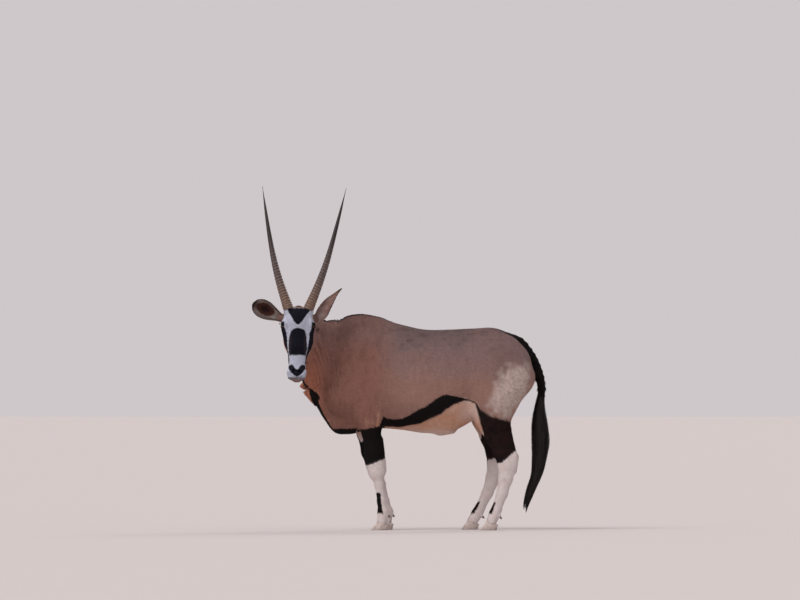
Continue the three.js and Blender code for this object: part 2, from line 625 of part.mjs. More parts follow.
function earGeometry(s) {
  const points = [];
  const index = [];
  const id = (inner, i, j) => (inner * EAR_ROWS + i) * EAR_COLUMNS + j;
  for (const inner of [0, 1]) {
    for (let i = 0; i < EAR_ROWS; i += 1) {
      for (let j = 0; j < EAR_COLUMNS; j += 1) {
        points.push(earSurface(s, i / (EAR_ROWS - 1), (2 * j) / (EAR_COLUMNS - 1) - 1, inner));
      }
    }
  }
  const quad = (a, b, c, d) => index.push(a, b, c, a, c, d);
  for (let i = 0; i < EAR_ROWS - 1; i += 1) {
    for (let j = 0; j < EAR_COLUMNS - 1; j += 1) {
      quad(id(0, i, j), id(0, i, j + 1), id(0, i + 1, j + 1), id(0, i + 1, j));
      quad(id(1, i, j), id(1, i + 1, j), id(1, i + 1, j + 1), id(1, i, j + 1));
    }
    const e = EAR_COLUMNS - 1;
    quad(id(0, i, 0), id(0, i + 1, 0), id(1, i + 1, 0), id(1, i, 0));
    quad(id(0, i, e), id(1, i, e), id(1, i + 1, e), id(0, i + 1, e));
  }
  const r = EAR_ROWS - 1;
  for (let j = 0; j < EAR_COLUMNS - 1; j += 1) {
    quad(id(0, 0, j), id(1, 0, j), id(1, 0, j + 1), id(0, 0, j + 1));
    quad(id(0, r, j), id(0, r, j + 1), id(1, r, j + 1), id(1, r, j));
  }
  const geometry = new THREE.BufferGeometry().setFromPoints(points);
  geometry.setIndex(index);
  return geometry;
}
const earRegion = (s) => {
  const root = EAR_ROOT.clone().multiply(V(s, 1, 1));
  const foot = root.addScaledVector(EARS[s].along, 22);
  const up = turnToWorld(EARS[s].along);
  return { foot: toWorld(foot), up, side: V(0, 1, 0), size: [170, 170, 260] };
};

// Legs
const LEG_SIDES = 11;
function legSolid(leg, field) {
  const { chain } = leg;
  const line = new THREE.CatmullRomCurve3(chain.map(({ at }) => at));
  const count = 21;
  const stops = Array.from({ length: count }, (_, i) => {
    const t = i / (count - 1);
    const at = line.getPoint(t);
    const limit = t < 0.13 ? lerp(leg.fore ? 44 : 60, leg.fore ? 62 : 84, t / 0.13) : 130;
    return { at, out: V(1, 0, 0), up: V(0, 1, 0), limit };
  });
  stops.push({ ...stops[count - 1], at: stops[count - 1].at.clone().add(V(-4, 0, -14)) });
  return solid(castLoft(field, stops, LEG_SIDES));
}

// Hoof: one toe of a cloven foot, flat below, its wall leaning back from a blunt point
const HOOF = { length: 92, half: 19, height: 58, lean: 26 };
const HOOF_SIDES = 10;
function hoofGeometry(foot, s) {
  const ring = (z) => {
    const t = z / HOOF.height;
    return Array.from({ length: HOOF_SIDES }, (_, j) => {
      const angle = (2 * Math.PI * j) / HOOF_SIDES;
      const forward = -Math.cos(angle); // -1 at the toe
      const narrow = 1 - 0.42 * Math.max(-forward, 0) ** 2;
      const x = forward * (HOOF.length / 2) * (1 - 0.3 * t) + HOOF.lean * t;
      const y = Math.sin(angle) * HOOF.half * narrow * (1 - 0.1 * t);
      const inward = s * (2.5 - 5 * Math.max(-forward, 0) * 0.5);
      return V(foot.x - 14 + x, foot.y + s * (HOOF.half + 1.2) + y - inward * 0.4, z);
    });
  };
  const rings = [0, 5, HOOF.height].map(ring);
  return loft(rings, mean(rings[0]), mean(rings[2]));
}
// The coronet: the plane between hoof and skin, higher in front than at the heel
const coronetRegion = (leg) => {
  const foot = leg.chain[leg.chain.length - 1].at;
  return { foot: V(foot.x, foot.y, CORONET_Z), up: V(-0.3, 0, -1), side: V(1, 0, 0), size: [260, 130, 90] };
};
const dewclawPoints = (s) => V(0.66, s * 0.12, -0.74).normalize();
function dewclawGeometry(leg, s) {
  const { radius, tip, length, sunk } = DEWCLAW;
  const claw = new THREE.CylinderGeometry(tip, radius, length, 8).translate(0, length / 2 - sunk, 0);
  const turn = new THREE.Quaternion().setFromUnitVectors(V(0, 1, 0), dewclawPoints(s));
  const { x, y, z } = dewclawAt(leg, s);
  return claw.applyQuaternion(turn).translate(x, y, z);
}
const dewclawRegion = (leg, s) => {
  const foot = dewclawAt(leg, s).addScaledVector(dewclawPoints(s), DEWCLAW.cut);
  return { foot, up: dewclawPoints(s), side: V(0, 1, 0), size: [28, 28, 40] };
};

// A flat tapered lock of hair along a path, with a diamond section that thins towards the tip.
function lockGeometry(path, flatSide, half, thick) {
  const steps = 5;
  const rings = [];
  for (let i = 0; i < steps; i += 1) {
    const t = i / steps;
    const at = path.getPoint(t);
    const along = path.getTangent(t);
    const wide = flatSide.clone().addScaledVector(along, -flatSide.dot(along)).normalize();
    const out = along.clone().cross(wide);
    const swell = Math.sin(Math.PI * (0.2 + 0.8 * t)) ** 0.7 * (1 - 0.35 * t) + 0.12;
    rings.push([
      at.clone().addScaledVector(wide, half * swell),
      at.clone().addScaledVector(out, thick * swell),
      at.clone().addScaledVector(wide, -half * swell),
      at.clone().addScaledVector(out, -thick * swell),
    ]);
  }
  return loft(rings, mean(rings[0]), path.getPoint(1));
}

// Seeded random numbers, for the small differences between locks
let seed = 7;
function random(low, high) {
  seed = (seed * 16807) % 2147483647;
  return low + ((high - low) * seed) / 2147483647;
}

// Tail: a fleshy dock that follows the rump, then a long brush of hair
const TAIL_LINE = [
  V(596, 0, 1068),
  V(668, 0, 1046),
  V(724, 0, 982),
  V(757, 0, 916),
  V(777, 0, 846),
  V(783, 0, 775),
];
const BRUSH_LINE = [
  V(783, 0, 800),
  V(774, 0, 700),
  V(772, 0, 600),
  V(777, 0, 500),
  V(769, 0, 380),
  V(737, 0, 260),
  V(706, 0, 170),
];
const TAIL_RADIUS = profile([0, 0.3, 0.7, 1], [34, 22, 19.5, 19]);
const BRUSH_CORE = profile([0, 0.15, 0.3, 0.5, 0.8, 1], [19, 24, 34, 38, 26, 8]);
const tubeStops = (line, count) => {
  const curve = new THREE.CatmullRomCurve3(line);
  return Array.from({ length: count }, (_, i) => {
    const t = i / (count - 1);
    const along = curve.getTangent(t);
    const up = along.clone().cross(V(0, 1, 0)).normalize();
    return { t, at: curve.getPoint(t), out: V(0, 1, 0), up };
  });
};
const tube = (line, count, radius, sides) =>
  loft(
    tubeStops(line, count).map(({ t, at, out, up }) =>
      Array.from({ length: sides }, (_, j) => {
        const angle = (2 * Math.PI * j) / sides;
        return at
          .clone()
          .addScaledVector(out, radius(t) * Math.cos(angle))
          .addScaledVector(up, radius(t) * Math.sin(angle));
      }),
    ),
    line[0],
    line[line.length - 1],
  );
const BRUSH_TIERS = [
  { from: 0.1, locks: 6, reach: 0.42, spread: 34 },
  { from: 0.24, locks: 6, reach: 0.46, spread: 53 },
  { from: 0.46, locks: 6, reach: 0.46, spread: 40 },
];
const BRUSH_TIPS = 3;
function brushSolid() {
  const curve = new THREE.CatmullRomCurve3(BRUSH_LINE);
  const pieces = [solid(tube(BRUSH_LINE, 9, BRUSH_CORE, 8))];
  const lock = (from, to, angle, spread, half) => {
    const out = V(Math.cos(angle), Math.sin(angle), 0);
    const points = [0, 0.25, 0.6, 1].map((t, i) => {
      const s = lerp(from, to, t);
      const past = Math.max(s - 1, 0);
      const at = curve.getPoint(Math.min(s, 1)).addScaledVector(curve.getTangent(1), past * 640);
      return at.addScaledVector(out, [6, 0.9 * spread, spread, 0.45 * spread][i] * (1 - past * 3));
    });
    const flatSide = V(-Math.sin(angle), Math.cos(angle), 0);
    return solid(lockGeometry(new THREE.CatmullRomCurve3(points), flatSide, half, half * 0.42));
  };
  BRUSH_TIERS.forEach(({ from, locks, reach, spread }, tier) => {
    for (let i = 0; i < locks; i += 1) {
      const angle = (2 * Math.PI * (i + 0.5 * (tier % 2) + random(-0.12, 0.12))) / locks;
      const to = from + reach * random(0.92, 1.08);
      pieces.push(lock(from, to, angle, spread * random(0.88, 1.08), random(15, 19)));
    }
  });
  for (let i = 0; i < BRUSH_TIPS; i += 1) {
    const angle = (2 * Math.PI * i) / BRUSH_TIPS + 0.4;
    pieces.push(lock(0.66, random(1.08, 1.15), angle, random(15, 20), random(9, 12)));
  }
  return largest(joined(pieces));
}

// Mane: short locks that stand along the top of neck and withers, lying back
const MANE_LOCKS = 9;
const maneLine = new THREE.CatmullRomCurve3([
  V(-534, -118, 1220),
  V(-486, -60, 1220),
  V(-436, -26, 1220),
  V(-380, -12, 1220),
  V(-330, -8, 1220),
]);
function maneLocks() {
  const locks = [];
  for (let i = 0; i < MANE_LOCKS; i += 1) {
    const t = (i + 0.5) / MANE_LOCKS;
    const over = maneLine.getPoint(t);
    const back = maneLine.getTangent(t).setZ(0).normalize();
    const root = cast(trunkField, over.clone().setZ(1060), V(0, 0, 1), 260);
    const tall = lerp(15, 9, t) * random(0.9, 1.1);
    const points = [
      root.clone().add(V(0, 0, -14)),
      root.clone().addScaledVector(back, 6).add(V(0, 0, tall * 0.45)),
      root.clone().addScaledVector(back, 24).add(V(0, 0, tall)),
    ];
    locks.push(solid(lockGeometry(new THREE.CatmullRomCurve3(points), back, 15, 5)));
  }
  return locks;
}

// Where the legs, the neck and the head are parted off
const legRegion = (leg) => {
  const out = Math.sign(leg.y);
  return leg.fore
    ? { foot: V(-175, out * 151, 606), slopeX: 0.25, slopeY: out * 0.6, size: [206, 300, 900] }
    : { foot: V(505, out * 151, 760), slopeX: 0.9, slopeY: out * 0.45, size: [330, 300, 1100] };
};
const neckRegion = {
  foot: V(-410, -6, 930),
  up: V(-0.92, -0.15, 0.35),
  side: V(0, 1, 0),
  size: [700, 800, 700],
};
const headRegion = {
  foot: toWorld(V(0, 176, 0)),
  up: turnToWorld(V(0, -0.98, 0.2)),
  side: V(1, 0, 0),
  size: [700, 800, 500],
};

const pieces = new Map();
let torso = trunkSolid();
LEGS.forEach((leg, i) => {
  let whole = legSolid(leg, legFields[i]);
  const coronet = coronetRegion(leg);
  whole = largest(whole.subtract(region(coronet, -CUT / 2)));
  const foot = leg.chain[leg.chain.length - 1].at;
  for (const s of [-1, 1]) {
    const side = s * Math.sign(leg.y) > 0 ? "outer" : "inner";
    const hoof = solid(hoofGeometry(foot, s));
    const toe = largest(hoof.intersect(region(coronet, CUT / 2)));
    pieces.set(`hoof_${leg.name}_${side}`, { solid: toe, slot: "hoof" });
    const [claw, rest] = partOff(whole.add(solid(dewclawGeometry(leg, s))), dewclawRegion(leg, s));
    pieces.set(`dewclaw_${leg.name}_${side}`, { solid: claw, slot: "hoof" });
    whole = rest;
  }
  leg.whole = whole;
});
torso = joined([torso, ...LEGS.map(({ whole }) => whole)]);
for (const leg of LEGS) {
  const [piece, rest] = partOff(torso, legRegion(leg), hangingRegion);
  pieces.set(`leg_${leg.name}`, { solid: piece, slot: "coat" });
  torso = rest;
}
torso = largest(torso.subtract(region(neckRegion, -CUT / 2)));
const neck = joined([neckSolid(), ...maneLocks()])
  .intersect(region(neckRegion, CUT / 2))
  .subtract(region(headRegion, -CUT / 2));
pieces.set("neck", { solid: largest(neck), slot: "coat" });

let head = headSolid().intersect(region(headRegion, CUT / 2));
for (const hollow of [mouthGroove(), nostril(-1), nostril(1)]) head = head.subtract(hollow);
const [seeing, eyes] = withEyes(head);
head = seeing;
for (const s of [1, -1]) {
  const side = s > 0 ? "left" : "right";
  pieces.set(`eye_${side}`, { solid: eyes[s > 0 ? 0 : 1], slot: "eye" });
  const ear = solid(earGeometry(s).applyMatrix4(headMatrix));
  const [earPiece, withoutEar] = partOff(head.add(ear), earRegion(s));
  const seat = solid(hornGeometry(s, CUT).applyMatrix4(headMatrix));
  pieces.set(`horn_${side}`, { solid: solid(hornGeometry(s).applyMatrix4(headMatrix)), slot: "horn" });
  pieces.set(`ear_${side}`, { solid: earPiece, slot: "coat" });
  head = largest(withoutEar.subtract(seat));
}
pieces.set("head", { solid: head, slot: "coat" });

const brushRegion = { foot: V(785, 0, 792), up: V(0, 0, -1), side: V(1, 0, 0), size: [260, 260, 900] };
const dock = solid(tube(TAIL_LINE, 10, TAIL_RADIUS, 12));
const seatLine = [TAIL_LINE[0].clone().add(V(-CUT, 0, 0)), ...TAIL_LINE.slice(1)];
const seat = solid(tube(seatLine, 10, (t) => TAIL_RADIUS(t) + CUT, 12));
pieces.set("torso", { solid: largest(torso.subtract(seat)), slot: "coat" });
pieces.set("tail_dock", { solid: largest(dock.subtract(region(brushRegion, -CUT / 2))), slot: "tail" });
const brush = largest(brushSolid().intersect(region(brushRegion, CUT / 2)));
pieces.set("tail_brush", { solid: brush, slot: "tail" });

const FINISH = {
  coat: { color: 0x8d7266, roughness: 0.85 },
  tail: { color: 0x16130f, roughness: 0.7 },
  horn: { color: 0x3a322b, roughness: 0.55 },
  hoof: { color: 0x2a2522, roughness: 0.5 },
  eye: { color: 0x140c08, roughness: 0.1 },
};
const gemsbok = new THREE.Group();
for (const [name, { solid: made, slot }] of pieces) {
  const material = new THREE.MeshStandardMaterial({ ...FINISH[slot], metalness: 0 });
  const mesh = new THREE.Mesh(geometryOf(made), material);
  mesh.name = name;
  gemsbok.add(mesh);
}

// The origin goes under the middle of the whole.
const bounds = new THREE.Box3().setFromObject(gemsbok);
const middle = bounds.getCenter(V(0, 0, 0));
gemsbok.position.set(-middle.x, -middle.y, -bounds.min.z);

export default gemsbok;
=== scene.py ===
import math

import bpy
import numpy as np
from mathutils import Euler, Matrix, Vector


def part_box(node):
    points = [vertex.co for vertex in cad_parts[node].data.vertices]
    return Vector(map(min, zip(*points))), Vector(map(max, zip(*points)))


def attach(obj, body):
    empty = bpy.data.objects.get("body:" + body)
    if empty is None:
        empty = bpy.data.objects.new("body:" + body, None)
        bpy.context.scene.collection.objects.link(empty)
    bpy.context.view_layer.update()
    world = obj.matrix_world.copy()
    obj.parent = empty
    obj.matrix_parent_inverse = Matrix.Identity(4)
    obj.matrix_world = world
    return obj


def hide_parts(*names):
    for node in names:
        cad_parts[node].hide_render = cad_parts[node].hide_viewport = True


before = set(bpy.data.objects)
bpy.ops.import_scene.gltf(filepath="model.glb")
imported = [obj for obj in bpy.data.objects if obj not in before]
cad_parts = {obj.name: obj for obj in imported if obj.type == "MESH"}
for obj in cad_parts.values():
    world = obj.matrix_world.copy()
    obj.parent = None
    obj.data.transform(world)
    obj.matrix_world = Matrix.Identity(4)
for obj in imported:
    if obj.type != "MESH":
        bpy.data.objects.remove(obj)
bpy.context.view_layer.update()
random = np.random.default_rng(11)

def turned(*steps):
    """One matrix for several turns, each an axis and its degrees. The last one is done first."""
    matrix = Matrix.Identity(3)
    for axis, degrees in steps:
        angles = [math.radians(degrees) if name == axis else 0 for name in "xyz"]
        matrix = matrix @ Euler(angles).to_matrix()
    return np.array(matrix)


# The head's own frame: x to the animal's left, y into the head, z from nose to crown.
HEAD_AT = np.array([-582.0, -338.0, 1142.0])
HEAD_PITCH = 6
HEAD_ROLL = 1.2
HEAD_YAW = 3
HEAD_TURN = turned(("z", -HEAD_YAW), ("y", HEAD_ROLL), ("x", -HEAD_PITCH))
EYE_AT = np.array([75.0, 44.0, 0.0])
EYE_LOOKS = np.array([0.86, -0.5, 0.04]) / np.linalg.norm([0.86, -0.5, 0.04])
EYE_RADIUS = 18


def to_head(points):
    return (points - HEAD_AT) @ HEAD_TURN


def from_head(points):
    return np.asarray(points) @ HEAD_TURN.T + HEAD_AT


def mirrored(point, side):
    return np.asarray(point, float) * (side, 1, 1)


# The offset from the animal's own frame to the frame of the model, from one node that both have.
eye_low, eye_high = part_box("eye_left")
OFFSET = np.array((eye_low + eye_high) / 2) * 1000 - from_head(EYE_AT)


def place(points):
    return (np.asarray(points) + OFFSET) / 1000


def unit(v):
    v = np.asarray(v, float)
    return v / np.maximum(np.linalg.norm(v, axis=-1, keepdims=True), 1e-9)


def columns(*values):
    """Points or directions from their coordinates, each a number or an array."""
    return np.stack(np.broadcast_arrays(*values), -1)


def smooth(low, high, value):
    t = np.clip((value - low) / (high - low), 0, 1)
    return t * t * (3 - 2 * t)


def profile(at, value):
    """A smooth curve through the stations, flat beyond both ends."""
    at, value = np.asarray(at, float), np.asarray(value, float)
    slope = np.zeros(len(at))
    slope[1:-1] = (value[2:] - value[:-2]) / (at[2:] - at[:-2])

    def curve(x):
        x = np.clip(x, at[0], at[-1])
        i = np.clip(np.searchsorted(at, x) - 1, 0, len(at) - 2)
        h = at[i + 1] - at[i]
        t = (x - at[i]) / h
        s = 1 - t
        ends = value[i] * s * s * (1 + 2 * t) + value[i + 1] * t * t * (3 - 2 * t)
        return ends + h * t * s * (slope[i] * s - slope[i + 1] * t)

    return curve


def smooth_path(points, count):
    """A smooth path through the points, as count points at even steps of the stations."""
    points = np.asarray(points, float)
    t = np.linspace(0, len(points) - 1, count)
    tangent = np.gradient(points, axis=0)
    i = np.minimum(t.astype(int), len(points) - 2)
    u = (t - i)[:, None]
    h00 = (1 + 2 * u) * (1 - u) ** 2
    h10 = u * (1 - u) ** 2
    h01 = u * u * (3 - 2 * u)
    h11 = u * u * (u - 1)
    return h00 * points[i] + h10 * tangent[i] + h01 * points[i + 1] + h11 * tangent[i + 1]


def lattice_noise(points, size, seed=0):
    """Smooth noise from -1 to 1, with lumps about size across."""
    q = points / size
    cell = np.floor(q).astype(np.int64)
    f = q - cell
    f = f * f * (3 - 2 * f)
    total = np.zeros(len(points))
    for corner in np.ndindex(2, 2, 2):
        c = cell + corner
        h = (c[:, 0] * 73856093) ^ (c[:, 1] * 19349663) ^ (c[:, 2] * 83492791) ^ (seed * 2654435761)
        h = (h ^ (h >> 13)) * 1274126177 & 0x7FFFFFFF
        h = (h ^ (h >> 15)) & 0xFFFF
        weight = np.prod(np.where(np.array(corner), f, 1 - f), axis=1)
        total += weight * (h / 32767.5 - 1)
    return total


# The field is about the distance to the animal's outside, and negative inside.
BAND = 40  # how far from its own surface a piece is worked out
FAR = 400.0


class Piece:
    def __init__(self, distance, low, high, k):
        self.distance = distance
        self.low = np.asarray(low, float)
        self.high = np.asarray(high, float)
        self.k = k

    def near(self, points, reach):
        return np.all((points > self.low - reach) & (points < self.high + reach), axis=1)


def limb(a, b, ra, rb, k, wide_a=1.0, wide_b=None, side=(0, 1, 0), cap=1.0):
    """A rounded limb. cap above 1 makes its two ends flatter."""
    a, b = np.asarray(a, float), np.asarray(b, float)
    wide_b = wide_a if wide_b is None else wide_b
    ab = b - a
    along2 = ab @ ab
    across = unit(np.asarray(side, float) - ab * (np.asarray(side, float) @ ab / along2))

    def distance(points):
        q = points - a
        whole = q @ ab / along2
        t = np.clip(whole, 0, 1)
        past = (whole - t) * cap
        q = q + (past - whole)[:, None] * ab
        s = q @ across
        rest2 = np.maximum(np.einsum("ij,ij->i", q, q) - s * s, 0)
        wide = wide_a + (wide_b - wide_a) * t
        reach = np.sqrt(rest2 + (s / wide) ** 2)
        steep = np.sqrt(rest2 + (s / wide**2) ** 2) / np.maximum(reach, 1e-6)
        return (reach - (ra + (rb - ra) * t)) / np.maximum(steep, 0.3)

    most = max(ra, rb) * max(wide_a, wide_b, 1)
    return Piece(distance, np.minimum(a, b) - most, np.maximum(a, b) + most, k)


def ellipsoid(c, r, axes, reach, k):
    """axes has the directions of the half lengths r as its columns. reach is the longest of them or more."""

    def distance(points):
        q = (points - c) @ axes / r
        far = np.linalg.norm(q, axis=1)
        return far * (far - 1) / np.maximum(np.linalg.norm(q / r, axis=1), 1e-9)

    return Piece(distance, c - reach, c + reach, k)


def ball(c, r, k, *turns):
    c, r = np.asarray(c, float), np.asarray(r, float)
    return ellipsoid(c, r, turned(*turns), r.max(), k)


def blend_low(d, e, k):
    h = np.maximum(k - np.abs(d - e), 0) / k
    return np.minimum(d, e) - h * h * k / 4


def melt(pieces):
    def field(points):
        d = np.full(len(points), FAR)
        for piece in pieces:
            near = np.flatnonzero(piece.near(points, piece.k + BAND))
            if len(near):
                d[near] = blend_low(d[near], piece.distance(points[near]), piece.k)
        return d

    return field


def carve(field, hollows):
    def carved(points):
        d = field(points)
        for hollow in hollows:
            near = np.flatnonzero(hollow.near(points, hollow.k + BAND))
            if len(near):
                d[near] = -blend_low(-d[near], hollow.distance(points[near]), hollow.k)
        return d

    return carved


def together(pieces, k):
    """Several pieces as one, which then melts in by k."""
    low = np.min([p.low for p in pieces], axis=0)
    high = np.max([p.high for p in pieces], axis=0)
    return Piece(melt(pieces), low, high, k)


# The trunk: heights of back and belly, and half width, at stations from breast to rump.
TRUNK_X = [-490, -440, -380, -310, -230, -120, 0, 130, 270, 400, 520, 620, 690, 735]
TRUNK_TOP = [900, 1060, 1138, 1189, 1208, 1187, 1153, 1126, 1126, 1132, 1133, 1083, 992, 905]
TRUNK_LOW = [700, 624, 546, 534, 545, 566, 558, 540, 546, 612, 690, 745, 800, 850]
TRUNK_HALF = [34, 84, 122, 146, 164, 184, 210, 230, 228, 200, 172, 146, 104, 40]
trunk_top = profile(TRUNK_X, TRUNK_TOP)
trunk_low = profile(TRUNK_X, TRUNK_LOW)
trunk_half = profile(TRUNK_X, TRUNK_HALF)
trunk_back = profile([-400, -230, 0, 270, 600], [1.9, 1.55, 1.85, 2.2, 2.1])
TRUNK_WIDEST = 0.43
TRUNK_BELLY = 2.15


def trunk_distance(points):
    x = np.clip(points[:, 0], TRUNK_X[0], TRUNK_X[-1])
    y, z = points[:, 1], points[:, 2]
    high, low, half = trunk_top(x), trunk_low(x), trunk_half(x)
    middle = low + (high - low) * TRUNK_WIDEST
    up = z > middle
    n = np.where(up, trunk_back(x), TRUNK_BELLY)
    dz = z - middle
    u = np.abs(y) / half
    v = np.abs(dz) / np.where(up, high - middle, middle - low)
    share = np.maximum((u**n + v**n) ** (1 / n), 1e-3)
    reach = np.hypot(y, dz)
    radial = np.where(share < 2e-3, -half, reach - reach / share)
    beyond = np.abs(points[:, 0] - x)
    outside = np.hypot(np.maximum(radial, 0), beyond) + np.minimum(radial, 0)
    return np.where(beyond > 0, outside, radial)


# The neck: points of its middle line, half height and width over height.
NECK = [
    ((-250, 0, 896), 276, 0.47),
    ((-378, -8, 950), 229, 0.5),
    ((-452, -34, 987), 201, 0.525),
    ((-512, -80, 1025), 166, 0.6),
    ((-548, -135, 1056), 138, 0.64),
    ((-566, -190, 1078), 115, 0.67),
    ((-572, -232, 1090), 104, 0.62),
]
NECK_CAP = 2.6
NECK_MELTS = [90, 30, 30, 30, 30, 30]
neck_pieces = []
for (a, ra, wa), (b, rb, wb), k in zip(NECK, NECK[1:], NECK_MELTS):
    across = np.cross(np.subtract(b, a), (0, 0, 1))
    neck_pieces.append(limb(a, b, ra, rb, k, wa, wb, across, NECK_CAP))

muscles = []
for s in (-1, 1):
    muscles += [
        limb((-222, s * 84, 1080), (-330, s * 122, 770), 70, 82, 60, 0.6),
        ball((-352, s * 104, 742), (64, 52, 78), 60),
        limb((-330, s * 118, 740), (-168, s * 116, 650), 72, 70, 60, 0.72),
        ball((-196, s * 120, 740), (84, 52, 110), 60, ("y", -18)),
    ]
for s in (-1, 1):
    muscles += [
        ball((520, s * 88, 984), (156, 92, 118), 70),
        limb((640, s * 72, 935), (642, s * 78, 850), 82, 92, 60, 0.86),
        limb((642, s * 78, 850), (536, s * 112, 640), 90, 74, 50, 0.8),
        limb((470, s * 124, 880), (470, s * 136, 690), 98, 84, 70, 0.66),
    ]

# Each joint of a leg: its place on the near leg, where y is a share of FORE_Y or HIND_Y, half its depth,
# its width over its depth, and how far back it stands on the far leg.
FORE_Y = 98
HIND_Y = 112
FORE_JOINTS = [
    ((-186, 1.16, 660), 74, 0.7, -34),
    ((-172, 1.12, 545), 54, 0.8, -30),
    ((-160, 1.08, 440), 51, 0.8, -20),
    ((-146, 1.03, 365), 45, 0.86, -12),
    ((-139, 1.01, 318), 41, 0.9, -5),
    ((-126, 1.0, 252), 27, 0.86, 8),
    ((-114, 1.0, 160), 25, 0.86, 18),
    ((-105, 1.0, 100), 31, 1.05, 24),
    ((-112, 1.0, 44), 30, 1.18, 26),
]
HIND_JOINTS = [
    ((500, 1.16, 700), 110, 0.66, -6),
    ((502, 1.13, 612), 88, 0.68, -14),
    ((530, 1.08, 525), 68, 0.68, -26),
    ((564, 1.04, 440), 55, 0.66, -40),
    ((588, 1.0, 372), 53, 0.68, -56),
    ((580, 1.0, 290), 41, 0.76, -68),
    ((560, 1.0, 205), 32, 0.84, -80),
    ((530, 1.0, 120), 28, 0.95, -92),
    ((519, 1.0, 92), 31, 1.04, -96),
    ((498, 1.0, 44), 31, 1.12, -104),
]
# The dewclaw's root from the middle of the fetlock: back, to the side and up.
DEWCLAW_AT = (25, 17, -13)
CORONET_Z = 40  # the hoof begins at this height


class Leg:
    def __init__(self, name, joints, out, fore):
        self.name = name
        self.fore = fore
        self.side = np.sign(out)
        far = out > 0
        self.chain = [
            (np.array([x + (shift if far else 0), y * out, z], float), half, wide)
            for (x, y, z), half, wide, shift in joints
        ]
        self.foot = self.chain[-1][0]
        self.fetlock = self.chain[-2][0]

    def dewclaw(self, s):
        back, out, up = DEWCLAW_AT
        return self.fetlock + (back, s * out, up)

    def pieces(self):
        made = []
        for (a, ra, wa), (b, rb, wb) in zip(self.chain, self.chain[1:]):
            made.append(limb(a, b, ra, rb, 14, wa, wb))
        for s in (-1, 1):
            toe_top = self.fetlock + (-4, s * 15, -14)
            made.append(limb(toe_top, self.foot + (-6, s * 19, -14), 24, 27, 8, 0.8))
            made.append(limb(self.fetlock, self.dewclaw(s), 14, 10, 10))
        if self.fore:
            forearm, knee = self.chain[2][0], self.chain[4][0]
            made.append(limb(forearm + (34, 0, 60), knee + (30, 0, 20), 24, 20, 30))
            made.append(ball(knee + (-14, 0, 10), (28, 32, 34), 16))
        else:
            gaskin, hock = self.chain[2][0], self.chain[4][0]
            heel = hock + (42, 0, 38)
            made.append(limb(gaskin + (58, 0, 36), heel, 26, 19, 26))
            made.append(limb(heel, hock + (36, 0, -40), 21, 18, 20))
        return made

    def below_coronet(self):
        up = unit((-0.3, 0, -1))
        foot = np.array([self.foot[0], self.foot[1], CORONET_Z])
        reach = np.array([130.0, 70.0, 90.0])
        high = foot + reach * (1, 1, 0.1)
        return Piece(lambda points: -((points - foot) @ up), foot - reach, high, 3)


LEGS = [
    Leg("front_left", FORE_JOINTS, -FORE_Y, True),
    Leg("front_right", FORE_JOINTS, FORE_Y, True),
    Leg("hind_left", HIND_JOINTS, -HIND_Y, False),
    Leg("hind_right", HIND_JOINTS, HIND_Y, False),
]

TAIL_LINE = [(596, 0, 1068), (668, 0, 1046), (724, 0, 982), (757, 0, 916), (777, 0, 846), (783, 0, 775)]
tail_radius = profile([0, 0.3, 0.7, 1], [34, 22, 19.5, 19])
TAIL_STEPS = 12
tail_path = smooth_path(TAIL_LINE, TAIL_STEPS + 1)
tail_pieces = [
    limb(a, b, tail_radius(i / TAIL_STEPS), tail_radius((i + 1) / TAIL_STEPS), 16)
    for i, (a, b) in enumerate(zip(tail_path, tail_path[1:]))
]

trunk = Piece(trunk_distance, (-560, -250, 500), (790, 250, 1230), 1)
sheath = limb((215, 0, 562), (285, 0, 556), 27, 10, 40, 0.8)
body_field = melt(
    [trunk, *neck_pieces, *muscles, sheath]
    + [together(leg.pieces(), 56) for leg in LEGS]
    + [together(tail_pieces, 26)]
)
body_field = carve(body_field, [leg.below_coronet() for leg in LEGS])

# From here to head_field, places are in the head's own frame.
X = (1, 0, 0)
head_pieces = [
    ball((0, 92, 34), (74, 84, 76), 30),
    ball((0, 50, 52), (72, 44, 58), 30),
    ball((0, 126, 62), (56, 50, 56), 30),
    limb((0, 58, 20), (0, 52, -118), 54, 46, 30, 1.22, 1.2, X),
    limb((0, 52, -118), (0, 52, -236), 46, 40, 24, 1.2, 1.16, X),
    ball((0, 50, -254), (47, 40, 34), 18),
    *[ball((s * 31, 40, -262), (25, 28, 26), 14) for s in (-1, 1)],
    *[ball((s * 22, 44, -286), (26, 26, 17), 12) for s in (-1, 1)],
    limb((0, 80, -230), (0, 74, -288), 31, 23, 14, 1.1, 1.4, X),
    *[limb((s * 35, 148, -40), (s * 19, 96, -215), 42, 28, 30, 0.8, 0.9, X) for s in (-1, 1)],
    *[ball((s * 46, 112, -30), (32, 56, 70), 28) for s in (-1, 1)],
    *[limb((s * 52, 44, -96), (s * 68, 52, -22), 20, 24, 26) for s in (-1, 1)],
    *[ball((s * 70, 50, 12), (24, 34, 30), 22) for s in (-1, 1)],
    *[limb((s * 40, 62, 60), (s * 54, 48, 86), 33, 30, 18) for s in (-1, 1)],
    ball((0, 54, 98), (17, 22, 20), 14),
    *[limb((s * 58, 108, 46), (s * 98, 117, 54), 32, 25, 18) for s in (-1, 1)],
    limb((0, 116, -30), (0, 178, -62), 66, 74, 40, 1.02, 1.02, X),
    limb((0, 120, 40), (0, 176, 18), 62, 70, 40, 0.95, 1, X),
]
bare_head = melt(head_pieces)


